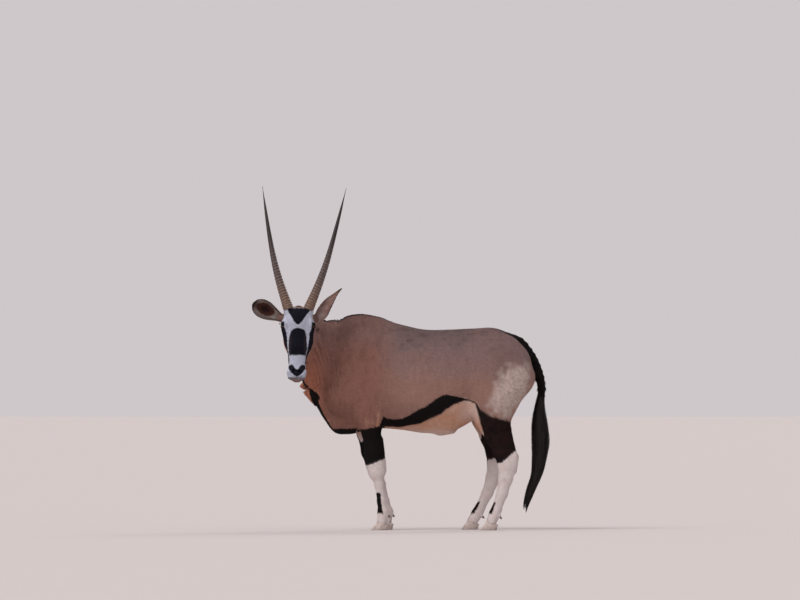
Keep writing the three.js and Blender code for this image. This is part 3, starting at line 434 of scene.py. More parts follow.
def cast(field, start, direction, limit, level=0.0):
    """Points on the field's level, reached from inside along the directions."""
    start, direction = np.atleast_2d(start), np.atleast_2d(direction)
    t = np.zeros(len(start))
    step = np.full(len(start), 2.0)
    going = np.ones(len(start), bool)
    while going.any() and t.max() < limit:
        value = field(start + direction * (t + step)[:, None]) - level
        out = value > 0
        t = np.where(going & ~out, t + step, t)
        going &= ~out
        step = np.where(going, np.clip(-0.7 * value, 1.0, 20), step)
        going &= t + step < limit
    near, far = t.copy(), t + step
    for _ in range(12):
        half = (near + far) / 2
        out = field(start + direction * half[:, None]) > level
        far = np.where(out, half, far)
        near = np.where(out, near, half)
    return start + direction * near[:, None]


def path_piece(points, radius, k):
    """A thin hollow or ridge along a path."""
    points = np.asarray(points, float)
    legs = [limb(a, b, radius, radius, 1) for a, b in zip(points, points[1:])]
    return together(legs, k)


MOUTH_CORNER_Z = -222
MOUTH_FRONT_Z = -291
share = np.linspace(-1, 1, 17)
angle = share * 2.1
mouth_z = MOUTH_FRONT_Z + (MOUTH_CORNER_Z - MOUTH_FRONT_Z) * np.abs(share) ** 1.7
mouth_from = columns(0, 62, mouth_z)
mouth_to = columns(np.sin(angle), -np.cos(angle), 0)
mouth_line = cast(bare_head, mouth_from, mouth_to, 120)
mouth_fine = smooth_path(mouth_line, 120)
NOSTRIL_AT = (26, 4, -257)
NOSTRIL_HALF = np.array([17.0, 22.0, 7.0])
EYE_PIT_HALF = np.array([17.0, 13.0, 34.0])


def nostril(s):
    turn = turned(("z", s * 24), ("y", s * 38))
    return ellipsoid(mirrored(NOSTRIL_AT, s), NOSTRIL_HALF, turn, NOSTRIL_HALF.max(), 7)


def eye_axes(s):
    """The eye's own axes: along its slit, up, and where it looks."""
    looks = mirrored(EYE_LOOKS, s)
    tilt = s * math.radians(14)
    level = unit(np.cross(looks, (0, 0, 1)))
    up = np.cross(level, looks)
    slit = level * math.cos(tilt) + np.cross(looks, level) * math.sin(tilt)
    return slit, unit(up * math.cos(tilt) + np.cross(looks, up) * math.sin(tilt)), looks


def eye_pit(s):
    return ellipsoid(mirrored(EYE_AT, s), EYE_PIT_HALF, np.stack(eye_axes(s), 1), EYE_PIT_HALF.max(), 3)


head_field = carve(
    bare_head,
    [
        limb((0, 6, -276), (0, 14, -300), 2.6, 3.4, 5),
        *[limb((s * 62, 20, -60), (s * 56, 16, -120), 4, 3, 24) for s in (-1, 1)],
        path_piece(mouth_line, 2.2, 3),
        *[hollow(s) for hollow in (nostril, eye_pit) for s in (-1, 1)],
    ],
)
HEAD_MELT = 44
HEAD_LOW = np.array([-160.0, -40.0, -330.0])
HEAD_HIGH = np.array([160.0, 290.0, 160.0])


def whole_field(points):
    d = body_field(points)
    q = to_head(points)
    near = np.flatnonzero(np.all((q > HEAD_LOW - 60) & (q < HEAD_HIGH + 60), axis=1))
    if len(near):
        d[near] = blend_low(head_field(q[near]), d[near], HEAD_MELT)
    return d + FOLD_DEPTH * fold_wave(points)


def neck_frame(points):
    """Share along the neck's middle line, and the place across it: sideways and up."""
    line = np.array([a for a, _, _ in NECK], float)
    best = np.full(len(points), np.inf)
    along = np.zeros(len(points))
    sideways = np.zeros(len(points))
    ahead = np.zeros(len(points))
    for i, (a, b) in enumerate(zip(line, line[1:])):
        ab = b - a
        t = np.clip((points - a) @ ab / (ab @ ab), 0, 1)
        q = points - (a + t[:, None] * ab)
        far = np.einsum("ij,ij->i", q, q)
        side = unit(np.cross(ab, (0, 0, 1)))
        front = np.cross(side, unit(ab))
        closer = far < best
        best = np.where(closer, far, best)
        along = np.where(closer, i + t, along)
        sideways = np.where(closer, q @ side, sideways)
        ahead = np.where(closer, q @ front, ahead)
    return along, sideways, ahead


FOLD_PITCH = 19.0
FOLD_DEPTH = 2.6  # at most, into the neck


def fold_wave(points):
    """From -1 to 1 over the upright folds on the inside of the turned neck, 1 in a crease."""
    x, y, z = points.T
    wave = np.zeros(len(points))
    near = np.flatnonzero((x < -320) & (x > -560) & (y < 20) & (z > 640))
    if len(near):
        p = points[near]
        window = smooth(-320, -375, p[:, 0]) * smooth(-545, -480, p[:, 0]) * smooth(640, 760, p[:, 2])
        across = p[:, 0] * 0.97 + p[:, 2] * 0.16 - p[:, 1] * 0.25 + 9 * lattice_noise(p, 90, 3)
        patchy = smooth(-0.4, 0.5, lattice_noise(p, 60, 5))
        wave[near] = window * patchy * np.sin(across * 2 * np.pi / FOLD_PITCH)
    return wave


COAT_DEPTH = 5
LEGS_THINNER = 2.4
FACE_THINNER = 3


def coat_depth(points):
    """How far the skin lies inside the outline."""
    depth = COAT_DEPTH - LEGS_THINNER * smooth(520, 330, points[:, 2])
    q = to_head(points)
    face = smooth(190, 110, q[:, 1]) * smooth(200, 120, np.abs(q[:, 0])) * smooth(170, 120, q[:, 2])
    return depth - FACE_THINNER * face * smooth(5, 3, COAT_DEPTH - depth)


def surface_nets(values, low, step):
    """Quads over the level zero of the values on a grid."""
    inside = values < 0
    shape = np.array(values.shape) - 1
    part = lambda i, j, k: inside[i : i + shape[0], j : j + shape[1], k : k + shape[2]]
    count = sum(part(*c).astype(np.int8) for c in np.ndindex(2, 2, 2))
    cell = np.argwhere((count > 0) & (count < 8))
    total = np.zeros((len(cell), 3))
    hits = np.zeros(len(cell))
    for axis in range(3):
        for corner in np.ndindex(2, 2, 2):
            if corner[axis]:
                continue
            a = cell + corner
            b = a.copy()
            b[:, axis] += 1
            va, vb = values[tuple(a.T)], values[tuple(b.T)]
            crossed = (va < 0) != (vb < 0)
            t = (va / np.where(crossed, va - vb, 1))[crossed]
            spot = np.repeat([corner], crossed.sum(), 0).astype(float)
            spot[:, axis] += t
            total[crossed] += spot
            hits[crossed] += 1
    points = low + (cell + total / hits[:, None]) * step
    index = np.full(shape, -1, np.int32)
    index[tuple(cell.T)] = np.arange(len(cell))
    quads = []
    for axis in range(3):
        u, v = (axis + 1) % 3, (axis + 2) % 3
        lower = np.take(inside, range(0, values.shape[axis] - 1), axis)
        upper = np.take(inside, range(1, values.shape[axis]), axis)
        node = np.argwhere(lower != upper)
        node = node[(node[:, u] > 0) & (node[:, v] > 0) & (node[:, u] < shape[u]) & (node[:, v] < shape[v])]
        du, dv = np.eye(3, dtype=int)[u], np.eye(3, dtype=int)[v]
        ring = [index[tuple((node - d).T)] for d in (0 * du, du, du + dv, dv)]
        quad = np.stack(ring, 1)
        outwards = lower[tuple(node.T)]
        quads.append(np.where(outwards[:, None], quad, quad[:, ::-1]))
    return points, np.concatenate(quads)


GRID_SLACK = 4.5  # coarse cells from the surface within which the fine grid is worked out


def field_grid(field, low, high, step, coarse=4):
    """The field on a regular grid, worked out only near its surface."""
    low, high = np.asarray(low, float), np.asarray(high, float)
    count = np.ceil((high - low) / (step * coarse)).astype(int) + 1
    nodes = np.stack(np.meshgrid(*[np.arange(n) for n in count], indexing="ij"), -1).reshape(-1, 3)
    rough = field(low + nodes * step * coarse).reshape(count)
    values = np.repeat(np.repeat(np.repeat(rough, coarse, 0), coarse, 1), coarse, 2)
    near = np.argwhere(np.abs(values) < step * coarse * GRID_SLACK)
    values[tuple(near.T)] = field(low + near * step)
    return values


def gradient(field, points, h=0.8):
    total = np.zeros_like(points)
    value = np.zeros(len(points))
    for corner in ((1, 1, 1), (1, -1, -1), (-1, 1, -1), (-1, -1, 1)):
        d = field(points + np.multiply(corner, h))
        total += d[:, None] * corner
        value += d / 4
    return value, total / (4 * h)


def project(field, points, rounds, most=6.0):
    for _ in range(rounds):
        value, slope = gradient(field, points)
        push = (value + coat_depth(points)) / np.maximum(np.einsum("ij,ij->i", slope, slope), 0.25)
        points = points - slope * np.clip(push, -most, most)[:, None]
    return points, unit(slope)


def relax(points, quads, share):
    """Moves each point towards the middle of its neighbours."""
    edges = np.concatenate([quads[:, [i, (i + 1) % 4]] for i in range(4)])
    total = np.zeros_like(points)
    count = np.zeros(len(points))
    for a, b in ((0, 1), (1, 0)):
        for axis in range(3):
            total[:, axis] += np.bincount(edges[:, a], points[edges[:, b], axis], len(points))
        count += np.bincount(edges[:, a], minlength=len(points))
    return points + (total / np.maximum(count, 1)[:, None] - points) * share


def refine(points, quads, borders, chosen):
    """Splits the chosen quads in four. Quads beside them take the new points as extra corners."""
    edges = np.stack([quads, np.roll(quads, -1, 1)], -1)
    key = np.sort(edges, -1)
    split = np.unique(key[chosen].reshape(-1, 2), axis=0)
    middle = points[split].mean(1)
    number = {tuple(e): len(points) + i for i, e in enumerate(split.tolist())}
    flat = key[:, :, 0].astype(np.int64) * len(points) + key[:, :, 1]
    split_flat = split[:, 0].astype(np.int64) * len(points) + split[:, 1]
    found = np.searchsorted(split_flat, flat)
    found = np.minimum(found, len(split_flat) - 1)
    has = split_flat[found] == flat
    mid = np.where(has, found + len(points), -1)
    centre = points[quads[chosen]].mean(1)
    c = np.arange(len(centre)) + len(points) + len(split)
    q, m = quads[chosen], mid[chosen]
    small = [np.stack([q[:, i], m[:, i], c, m[:, i - 1]], 1) for i in range(4)]
    beside = ~chosen & has.any(1)
    grown = []
    for corners, extra in zip(quads[beside].tolist(), mid[beside].tolist()):
        polygon = []
        for corner, between in zip(corners, extra):
            polygon.append(corner)
            if between >= 0:
                polygon.append(between)
        grown.append(polygon)
    patched = []
    for polygon in borders:
        made = []
        for a, b in zip(polygon, polygon[1:] + polygon[:1]):
            made.append(a)
            if (min(a, b), max(a, b)) in number:
                made.append(number[(min(a, b), max(a, b))])
        patched.append(made)
    keep = ~chosen & ~beside
    return np.concatenate([points, middle, centre]), np.concatenate([quads[keep], *small]), patched + grown


def make_object(name, points, faces):
    """faces is a list of integer arrays, one row for each face, or of lists of corners."""
    mesh = bpy.data.meshes.new(name)
    arrays = [f for f in faces if isinstance(f, np.ndarray) and len(f)]
    loose = [f for f in faces if isinstance(f, list)]
    corners = np.concatenate([a.reshape(-1) for a in arrays] + loose).astype(np.int32)
    sizes = np.concatenate([np.full(len(a), a.shape[1]) for a in arrays] + [[len(f)] for f in loose])
    mesh.vertices.add(len(points))
    mesh.vertices.foreach_set("co", place(points).astype(np.float32).reshape(-1))
    mesh.loops.add(len(corners))
    mesh.loops.foreach_set("vertex_index", corners)
    mesh.polygons.add(len(sizes))
    mesh.polygons.foreach_set("loop_start", (np.cumsum(sizes) - sizes).astype(np.int32))
    mesh.polygons.foreach_set("use_smooth", np.full(len(sizes), True))
    mesh.update(calc_edges=True)
    thing = bpy.data.objects.new(name, mesh)
    bpy.context.collection.objects.link(thing)
    return thing


def paint(thing, name, colours):
    """Stores a colour (linear) for each point."""
    layer = thing.data.attributes.new(name, "FLOAT_COLOR", "POINT")
    rgba = np.ones((len(colours), 4), np.float32)
    rgba[:, :3] = colours
    layer.data.foreach_set("color", rgba.reshape(-1))


def srgb(r, g, b):
    c = np.array([r, g, b]) / 255
    return np.where(c <= 0.04045, c / 12.92, ((c + 0.055) / 1.055) ** 2.4)


BLACK = srgb(20, 15, 16)
DARK_BROWN = srgb(44, 27, 24)
WHITE = srgb(224, 214, 213)
SHADED_FACE_WHITE = srgb(198, 203, 219)
FACE_BLACK = srgb(24, 24, 34)
NOSE_SIDES = srgb(48, 42, 48)
WARM_SHADED_WHITE = srgb(198, 144, 111)
BACK = srgb(138, 114, 112)
FLANK = srgb(157, 122, 112)
NECK_TINT = srgb(146, 104, 93)
WARM = srgb(186, 121, 97)
GREY = srgb(118, 103, 104)
PALE = srgb(203, 187, 180)
EAR_BACK = srgb(143, 112, 104)
EAR_HOLLOW_SHADE = srgb(68, 41, 34)
EAR_HAIR = srgb(150, 138, 132)
HORN_BASE = srgb(108, 88, 76)
HORN_MIDDLE = srgb(80, 68, 66)
HORN_TIP = srgb(40, 31, 31)
HOOF_TINT = srgb(206, 192, 188)
DEWCLAW_TINT = srgb(112, 96, 92)
SHADED_LIP_GREY = srgb(104, 98, 102)
CHIN = srgb(140, 104, 96)
EYE_BROWN = srgb(26, 18, 16)
IRIS_BROWN = srgb(66, 38, 24)
PUPIL_BLACK = srgb(6, 5, 8)
STRAND_BLACK = srgb(24, 19, 20)


def mix(a, b, weight):
    """One row for each weight. Each colour is one for all of them, or has a row for each."""
    weight = np.clip(np.asarray(weight, float), 0, 1)
    return a + (b - a) * weight.reshape(-1, 1)


# Edges of the markings, as stations and values: along the body for heights, and in height for places.
STRIPE_LOW = ([-123, -6, 101, 209, 274, 338, 374, 404], [582, 582, 603, 652, 702, 729, 727, 712])
STRIPE_TOP = (
    [-123, -108, -76, -5, 67, 138, 203, 245, 302, 374, 413],
    [600, 640, 626, 627, 666, 702, 750, 762, 752, 733, 714],
)
THIGH_TOP = ([374, 413, 432, 453, 497, 517, 596, 700], [733, 714, 678, 667, 640, 636, 615, 600])
THIGH_FRONT = ([370, 379, 497, 565, 638, 712, 740], [476, 478, 462, 450, 427, 404, 380])
CROUP_PATCH = ([506, 541, 587, 625, 663, 716, 760], [1134, 1116, 1094, 1068, 1033, 949, 850])
CROUP_HALF = ([506, 587, 640, 680, 720], [60, 100, 78, 54, 38])
HOCK_LINE = ([470, 486, 557, 627, 660], [372, 371, 379, 442, 462])


LEGS_PART_X = 150  # the forelegs stand before it and the hind legs behind it


def near_leg_x(points):
    """The place along the body that a point of a far leg has on the near leg."""
    x, y, z = points.T
    moved = x.copy()
    for joints, mine in ((FORE_JOINTS, x < LEGS_PART_X), (HIND_JOINTS, x >= LEGS_PART_X)):
        heights = [j[0][2] for j in joints][::-1]
        shifts = [j[3] for j in joints][::-1]
        moved -= np.where(mine & (y > 0), np.interp(z, heights, shifts) * smooth(760, 640, z), 0)
    return moved


def chain_x(joints, z):
    return np.interp(z, [j[0][2] for j in joints][::-1], [j[0][0] for j in joints][::-1])


dorsal_half = profile([-560, -200, 200, 440, 500, 560, 620, 700], [11, 10, 7, 9, 30, 52, 62, 60])
dorsal_strength = profile([-560, -330, 60, 160, 400, 460, 500], [0.85, 0.9, 0.6, 0.3, 0.3, 0.7, 1])
nose_half = profile([-166, -140, -106, -72, -38, -22, -10], [45, 49, 50, 47, 41, 29, 0])
brow_half = profile([3, 9, 20, 46, 66, 90, 112], [0, 10, 20, 37, 49, 63, 66])
cheek_inner = profile([-215, -170, -140, -106, -72, -38, 0], [42, 47, 52, 57, 61, 66, 76])
cheek_front = profile([-215, -150, -110, -70], [40, 42, 62, 120])
cheek_back = profile([-215, -158, -106, -50, -12, 12], [98, 102, 104, 94, 80, 60])
face_back = profile([-320, -250, -215, -158, -106, -50, -12, 20, 60], [112, 104, 98, 98, 99, 89, 78, 82, 74])
FACE_MIDDLE = 3  # the markings of the face are centred a little to the animal's left
NOSE_V = np.array([(-34, -233), (-27, -248), (-8, -265), (8, -265), (27, -248), (34, -233)], float)


def distance_to_line(u, v, line):
    best = np.full(len(u), np.inf)
    for (a, b), (c, d) in zip(line, line[1:]):
        t = np.clip(((u - a) * (c - a) + (v - b) * (d - b)) / ((c - a) ** 2 + (d - b) ** 2), 0, 1)
        best = np.minimum(best, np.hypot(u - a - t * (c - a), v - b - t * (d - b)))
    return best


def mouth_distance(q):
    """Distance in the head's frame to the line of the mouth, worked out only near the muzzle."""
    best = np.full(len(q), 99.0)
    near = np.flatnonzero((q[:, 2] < -205) & (q[:, 2] > -330) & (q[:, 1] < 130) & (np.abs(q[:, 0]) < 90))
    if len(near):
        best[near] = np.min(np.linalg.norm(q[near, None] - mouth_fine, axis=2), axis=1)
    return best


def within(*limits):
    """A mark: the distance inside the nearest of its limits, in millimetres, negative outside them."""
    return np.min(np.broadcast_arrays(*limits), axis=0)


NO_MARK = -99.0


def black_marks(points, normal):
    x, y, z = points.T
    q = to_head(points)
    qx, qy, qz = np.abs(q[:, 0] - FACE_MIDDLE), q[:, 1], q[:, 2]
    xn = near_leg_x(points)
    along, sideways, ahead = neck_frame(points)
    inner = smooth(0.1, 0.7, -normal[:, 1] * np.sign(y)) * smooth(25, 50, np.abs(y))
    hock_line = np.interp(xn, *HOCK_LINE)
    fore_x, hind_x = chain_x(FORE_JOINTS, z), chain_x(HIND_JOINTS, z)
    fore_top = 578 + 0.19 * (xn + 176) - 75 * inner * smooth(-150, -200, xn)
    throat = 30 + 6 * smooth(860, 700, z)
    under_chin = 38 * smooth(1.2, 2.4, along) * smooth(4.2, 3.2, along)
    off_head = np.maximum.reduce([qy - 150, np.abs(q[:, 0]) - 160, -qz - 350])
    tail = distance_to_line(x, z, tail_path[:, [0, 2]])
    stripe_low, stripe_top = np.interp(xn, *STRIPE_LOW), np.interp(xn, *STRIPE_TOP)
    thigh_front, thigh_top = np.interp(z, *THIGH_FRONT), np.interp(xn, *THIGH_TOP)
    body = [
        np.full(len(points), NO_MARK),
        # flank stripe, the thigh's dark field and its lower end
        within(z - stripe_low, stripe_top - z, xn + 124, 400 - xn, 9 * (np.abs(y) - 60)),
        within(xn - thigh_front, thigh_top - z, z - hock_line, 12 - 40 * inner),
        within(xn - 470, 620 - xn, 560 - z, z - hock_line - 20 * inner),
        # forelegs, breast, throat and the line between throat and breast
        within(fore_top - z, z - 363 - 0.41 * (xn + 194), 78 - np.abs(xn - fore_x), np.abs(y) - 30),
        within(573 - z, -255 - x, x + 400, 80 - np.abs(y + 6), z - 500),
        within(throat - np.abs(sideways - under_chin), -20 - ahead, -330 - x, off_head + 40),
        within(throat - np.abs(y + 6), 720 - z, -300 - x, z - 500, -normal[:, 2] * 40 + 5),
        # croup and dock
        within(z - np.interp(x, *CROUP_PATCH), x - 506, np.interp(x, *CROUP_HALF) - np.abs(y), 760 - x),
        within(36 - tail, 36 - np.abs(y), x - 560),
        # cannon and fetlock patches
        within(fore_x - 1 - xn, 58 - np.abs(z - 155), 60 - x, 22 - 30 * inner),
        within(hind_x - 17 - xn, 32 - np.abs(z - 127), x - 200),
    ]
    # crest and back line
    crest = np.where(x < -330, np.abs(sideways), np.abs(y + 4 * smooth(-200, -330, x)))
    top = np.where(x < -330, ahead - 20, 40 * (normal[:, 2] - 0.55 + 0.5 * smooth(520, 600, x)))
    line = np.minimum(dorsal_half(x) - crest, top)
    # face
    front = 40 * (-unit(normal @ HEAD_TURN)[:, 1] + 0.15)
    in_face = within(130 - qy, 150 - np.abs(q[:, 0]), qz + 316, 150 - qz)
    cheek = np.maximum(qx - cheek_inner(qz), np.minimum(qy - cheek_front(qz), qx - 30))
    nose_v = distance_to_line(q[:, 0] - FACE_MIDDLE, qz, NOSE_V)
    face = [
        within(nose_half(qz) - qx, qz + 166, -8 - qz, front + 10, in_face),
        within(brow_half(qz) - qx, qz - 3, 99 - qz, 84 - qy, in_face),
        within(cheek, cheek_back(qz) - qy, qz + 212, 22 - qz, in_face),
        within(qx - 48, 16 - np.hypot(qy - 62, (qz - 24) * 0.5), in_face),  # from the eye to the horn
        within(17.5 - 3.5 * smooth(8, 34, qx) - nose_v, 52 - qy, in_face),
        within(3.2 - mouth_distance(q), in_face),
    ]
    marks = np.where(in_face > 0, NO_MARK, np.maximum.reduce(body))
    return np.maximum.reduce([marks, *face]), line, dorsal_strength(x) * (in_face <= 0)


ELBOW_LINE = [(-140, 588), (-134, 655)]
THIGH_LINE = [(345, 728), (400, 660), (455, 560), (478, 470)]


def white_marks(points, normal):
    x, y, z = points.T
    q = to_head(points)
    xn = near_leg_x(points)
    inner = -normal[:, 1] * np.sign(y)
    face = within(face_back(q[:, 2]) - q[:, 1], 92 - np.abs(q[:, 0]), q[:, 2] + 318, 100 - q[:, 2])
    marks = [
        # belly, side and middle
        within(np.interp(xn, *STRIPE_LOW) - z, xn + 140, np.interp(z, *THIGH_FRONT) + 8 - xn, 780 - z),
        within(-normal[:, 2] * 60 - 25, x + 200, 600 - x, 620 - z),
        # behind the elbow and in front of the thigh
        within(3.5 - distance_to_line(x, z, ELBOW_LINE), np.abs(y) - 70),
        within(13 - distance_to_line(xn, z, THIGH_LINE), np.abs(y) - 30),
        # legs, as far as they are not black
        within(560 - z, 60),
        within(inner * 60 - 20, 700 - z, x + 300),
        face,
    ]
    return np.maximum.reduce([np.full(len(points), NO_MARK), *marks]), face


RUMP_AT = (596, 785)  # middle of the pale patch on the haunch, along the body and up
RUMP_TILT = (0.9, 0.435)
RUMP_HALF = (172, 104)


def coat_tint(points, normal):
    x, y, z = points.T
    q = to_head(points)
    qx, qy, qz = np.abs(q[:, 0]), q[:, 1], q[:, 2]
    fine, lump, broad = (lattice_noise(points, size, seed) for size, seed in ((6, 1), (26, 2), (110, 4)))
    streak = lattice_noise(points * (1, 1, 0.25), 14, 6)
    body = mix(FLANK, BACK, smooth(790, 1010, z + 50 * broad))
    on_back = smooth(-120, 60, x) * smooth(440, 320, x) * smooth(990, 1080, z + 40 * lump)
    body = mix(body, GREY, 0.55 * on_back)
    body = mix(body, NECK_TINT, smooth(20, -200, x) * (0.9 - 0.45 * smooth(980, 1120, z)))
    body = mix(body, WARM, 0.8 * smooth(-380, -520, x) * smooth(1100, 800, z))
    # darker over the neck and shoulder: partly mottling of the coat, partly painted shade on the shoulder
    mottle_and_shade = smooth(-0.3, 0.9, 0.7 * streak + 0.4 * lump + 0.5 * broad)
    body = mix(body, DARK_BROWN, 0.27 * smooth(40, -140, x) * mottle_and_shade)
    body = mix(body, EAR_BACK * 0.8, smooth(60, 84, qx) * (qz > 14) * (qz < 130) * (qy < 170))
    body = mix(body, DARK_BROWN, 0.85 * smooth(92, 100, qz) * (qx < 60) * (qy < 110))
    flecks = smooth(0.1, 0.9, lump + 0.4 * fine)
    body = mix(body, DARK_BROWN, 0.34 * smooth(-150, 0, x) * smooth(960, 1080, z) * flecks)
    # painted shade in the neck's creases and painted light on the folds between them
    body = body * (1 - 0.16 * fold_wave(points))[:, None]
    # the pale patch on the haunch
    back, up = x - RUMP_AT[0], z - RUMP_AT[1]
    u = (-RUMP_TILT[1] * back - RUMP_TILT[0] * up) / RUMP_HALF[0]
    v = (RUMP_TILT[0] * back - RUMP_TILT[1] * up) / RUMP_HALF[1]
    patch = smooth(1.15, 0.6, np.hypot(u, v) + 0.24 * lump + 0.12 * fine) * (np.abs(y) > 20)
    body = mix(body, PALE, patch * (0.75 + 0.35 * fine))
    body = body * (1 + 0.07 * fine + 0.06 * lump + 0.05 * broad + 0.06 * streak)[:, None]
    # white; on the belly, painted shade warmed by light bounced from the ground
    white, face = white_marks(points, normal)
    edge = 3.2 * fine + 2.5 * lump
    soft = 4 + 10 * (face < 0) * (z > 600)
    pale = smooth(-soft, soft, white + edge)
    flank_fold = smooth(240, 400, x) * smooth(570, 660, z)
    # painted shade: the white above the legs darker and warmer, with less of it towards the flank's fold
    warm_shade = smooth(480, 600, z) * smooth(-40, 40, -face) * (1 - 0.45 * flank_fold)
    snow = mix(WHITE, WARM_SHADED_WHITE, 0.85 * warm_shade + 0.12 * lump)
    # painted shade: the face's white is a cooler, bluer copy of the white
    snow = mix(snow, SHADED_FACE_WHITE, smooth(-2, 4, face))
    tint = mix(body, snow * (1 + 0.05 * fine)[:, None], pale)
    # black, brown on the thigh and greyer down the sides of the nose
    black, line, strength = black_marks(points, normal)
    blur = 2.5 + 9 * smooth(400, 450, x) * smooth(590, 640, z) * (x < 600)
    dark = smooth(-blur, blur, black + edge * 0.8)
    brown = mix(BLACK, DARK_BROWN, smooth(200, 480, x) * smooth(760, 560, z) * (0.5 + 0.5 * lump))
    nose_side = smooth(26, 46, np.abs(q[:, 0] - FACE_MIDDLE)) * smooth(56, 50, qx)
    sooty = mix(FACE_BLACK, NOSE_SIDES, nose_side * smooth(-24, -70, qz) * smooth(-205, -170, qz))
    tint = mix(tint, mix(brown, sooty, smooth(-2, 2, face)), dark)
    tint = mix(tint, BLACK, strength * smooth(-4, 4, line + edge))
    # painted shade: the white lower lip greyer
    tint = mix(tint, SHADED_LIP_GREY, 0.75 * smooth(-284, -290, qz) * (face > 0))
    return mix(tint, CHIN, 0.8 * smooth(-294, -301, qz) * (face > 0))


def material(name, roughness, bump, variation, tint=None, coat=0.0, specular=0.3):
    """bump is the relief's strength and its noise's scale. Without a tint, each point has its own."""
    made = bpy.data.materials.new(name)
    made.use_nodes = True
    nodes, links = made.node_tree.nodes, made.node_tree.links
    shader = nodes["Principled BSDF"]
    shader.inputs["Coat Weight"].default_value = coat
    shader.inputs["Specular IOR Level"].default_value = specular
    place_of = nodes.new("ShaderNodeTexCoord")
    noise = nodes.new("ShaderNodeTexNoise")
    noise.inputs["Scale"].default_value = bump[1]
    noise.inputs["Detail"].default_value = 5
    links.new(place_of.outputs["Object"], noise.inputs["Vector"])

    def varied(middle, change):
        spread = nodes.new("ShaderNodeMapRange")
        spread.inputs["To Min"].default_value = middle - change
        spread.inputs["To Max"].default_value = middle + change
        links.new(noise.outputs["Fac"], spread.inputs["Value"])
        return spread.outputs["Result"]

    colour = nodes.new("ShaderNodeMix")
    colour.data_type = "RGBA"
    colour.blend_type = "MULTIPLY"
    colour.inputs[0].default_value = 1
    if tint is None:
        stored = nodes.new("ShaderNodeAttribute")
        stored.attribute_name = "tint"
        links.new(stored.outputs["Color"], colour.inputs[6])
    else:
        colour.inputs[6].default_value = (*tint, 1)
    links.new(varied(1, variation), colour.inputs[7])
    links.new(colour.outputs[2], shader.inputs["Base Color"])
    links.new(varied(roughness, 0.08), shader.inputs["Roughness"])
    if bump[0]:
        relief = nodes.new("ShaderNodeBump")
        relief.inputs["Strength"].default_value = bump[0]
        relief.inputs["Distance"].default_value = 0.001
        links.new(noise.outputs["Fac"], relief.inputs["Height"])
        links.new(relief.outputs["Normal"], shader.inputs["Normal"])
    return made


SKIN_LOOK = material("skin", 0.8, (0.6, 420), 0.14, specular=0.12)
COAT_LOOK = material("coat", 0.8, (0.15, 900), 0.1, specular=0.12)
BRUSH_LOOK = material("long hair", 0.42, (0.3, 700), 0.25, specular=0.2)
HORN_LOOK = material("horn", 0.46, (0.5, 260), 0.22)
HOOF_LOOK = material("hoof", 0.6, (0.5, 220), 0.2)
EYE_LOOK = material("eye", 0.16, (0, 60), 0.1, coat=0.35, specular=0.35)


STEP = 6.5  # of the grid that the skin is cut from
SKIN_LOW = np.array([-730.0, -420.0, 14.0])
SKIN_HIGH = np.array([815.0, 250.0, 1290.0])


def finish_piece(thing, look, slot, *nodes):
    """nodes are the solids that the piece stands for."""
    thing.data.materials.append(look)
    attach(thing, "root")
    if nodes:
        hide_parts(*nodes)


def store_map(thing, uv):
    """Stores each point's place on the map OFBake."""
    corner = np.empty(len(thing.data.loops), np.int32)
    thing.data.loops.foreach_get("vertex_index", corner)
    layer = thing.data.uv_layers.new(name="OFBake")
    layer.data.foreach_set("uv", uv[corner].astype(np.float32).reshape(-1))


def in_head(points):
    q = to_head(points)
    return (np.abs(q[:, 0]) < 130) & (q[:, 1] < 170) & (q[:, 2] < 135) & (q[:, 2] > -325)


def in_features(points):
    """Round the eyes, and the muzzle."""
    q = to_head(points)
    eye = np.linalg.norm(q * np.where(q[:, :1] < 0, -1, 1) * (1, 0, 0) + q * (0, 1, 1) - EYE_AT, axis=1)
    return (eye < 36) | ((q[:, 2] < -205) & (q[:, 2] > -325) & (q[:, 1] < 112) & (np.abs(q[:, 0]) < 90))


points, quads = surface_nets(field_grid(whole_field, SKIN_LOW, SKIN_HIGH, STEP), SKIN_LOW, STEP)
points = relax(points, quads, 0.5)
points, normal = project(whole_field, points, 2)
borders = []  # faces beside refined ones, with more than four corners
for choose in (in_head, in_features):
    points, quads, borders = refine(points, quads, borders, choose(points)[quads].all(1))
    fresh = in_head(points)
    points[fresh] = relax(points, quads, 0.35)[fresh]
    points[fresh] = project(whole_field, points[fresh], 2)[0]
normal = unit(gradient(whole_field, points)[1])
skin_points, skin_normals, skin_faces = points, normal, [quads, *borders]


def sheet_faces(rows, columns, start=0, closed=False):
    """Quads of a grid of points, rows by columns; closed joins the last column to the first."""
    i, j = np.meshgrid(np.arange(rows - 1), np.arange(columns if closed else columns - 1), indexing="ij")
    k = (j + 1) % columns
    grid = np.stack([i * columns + j, i * columns + k, (i + 1) * columns + k, (i + 1) * columns + j], -1)
    return grid.reshape(-1, 4) + start


LID_HALF = (15.5, 9.6)
LID_SIDES = 72


def almond(angle):
    """How far the slit's rim is from its middle."""
    a, b = LID_HALF
    c, s = np.cos(angle) ** 2, np.abs(np.sin(angle))
    bow = b * c / a**2
    curved = (-s + np.sqrt(s * s + 4 * bow * b)) / (2 * np.maximum(bow, 1e-9))
    return np.where(bow > 1e-6, curved, b / np.maximum(s, 1e-9))


# Rings of a lid: how far out from the rim, how far from the eye's middle, and the share of the face in it.
LID_RINGS = [
    (-0.8, 18.2, 0),
    (0.0, 18.8, 0),
    (0.6, 20.6, 0),
    (2.0, 21.3, 0),
    (3.6, 21.0, 0.25),
    (5.4, 20.6, 0.6),
    (7.5, 20.0, 0.9),
    (10, 20.0, 1.0),
    (12.5, 20.0, 1.0),
]
LID_CREASE = {5.4: -1.1, 7.5: 0.9}  # a groove and a fold above the eye, on the rings that far out
LID_LIFT = {10: 0.1, 12.5: -1.4}  # the last rings dip into the skin of the face


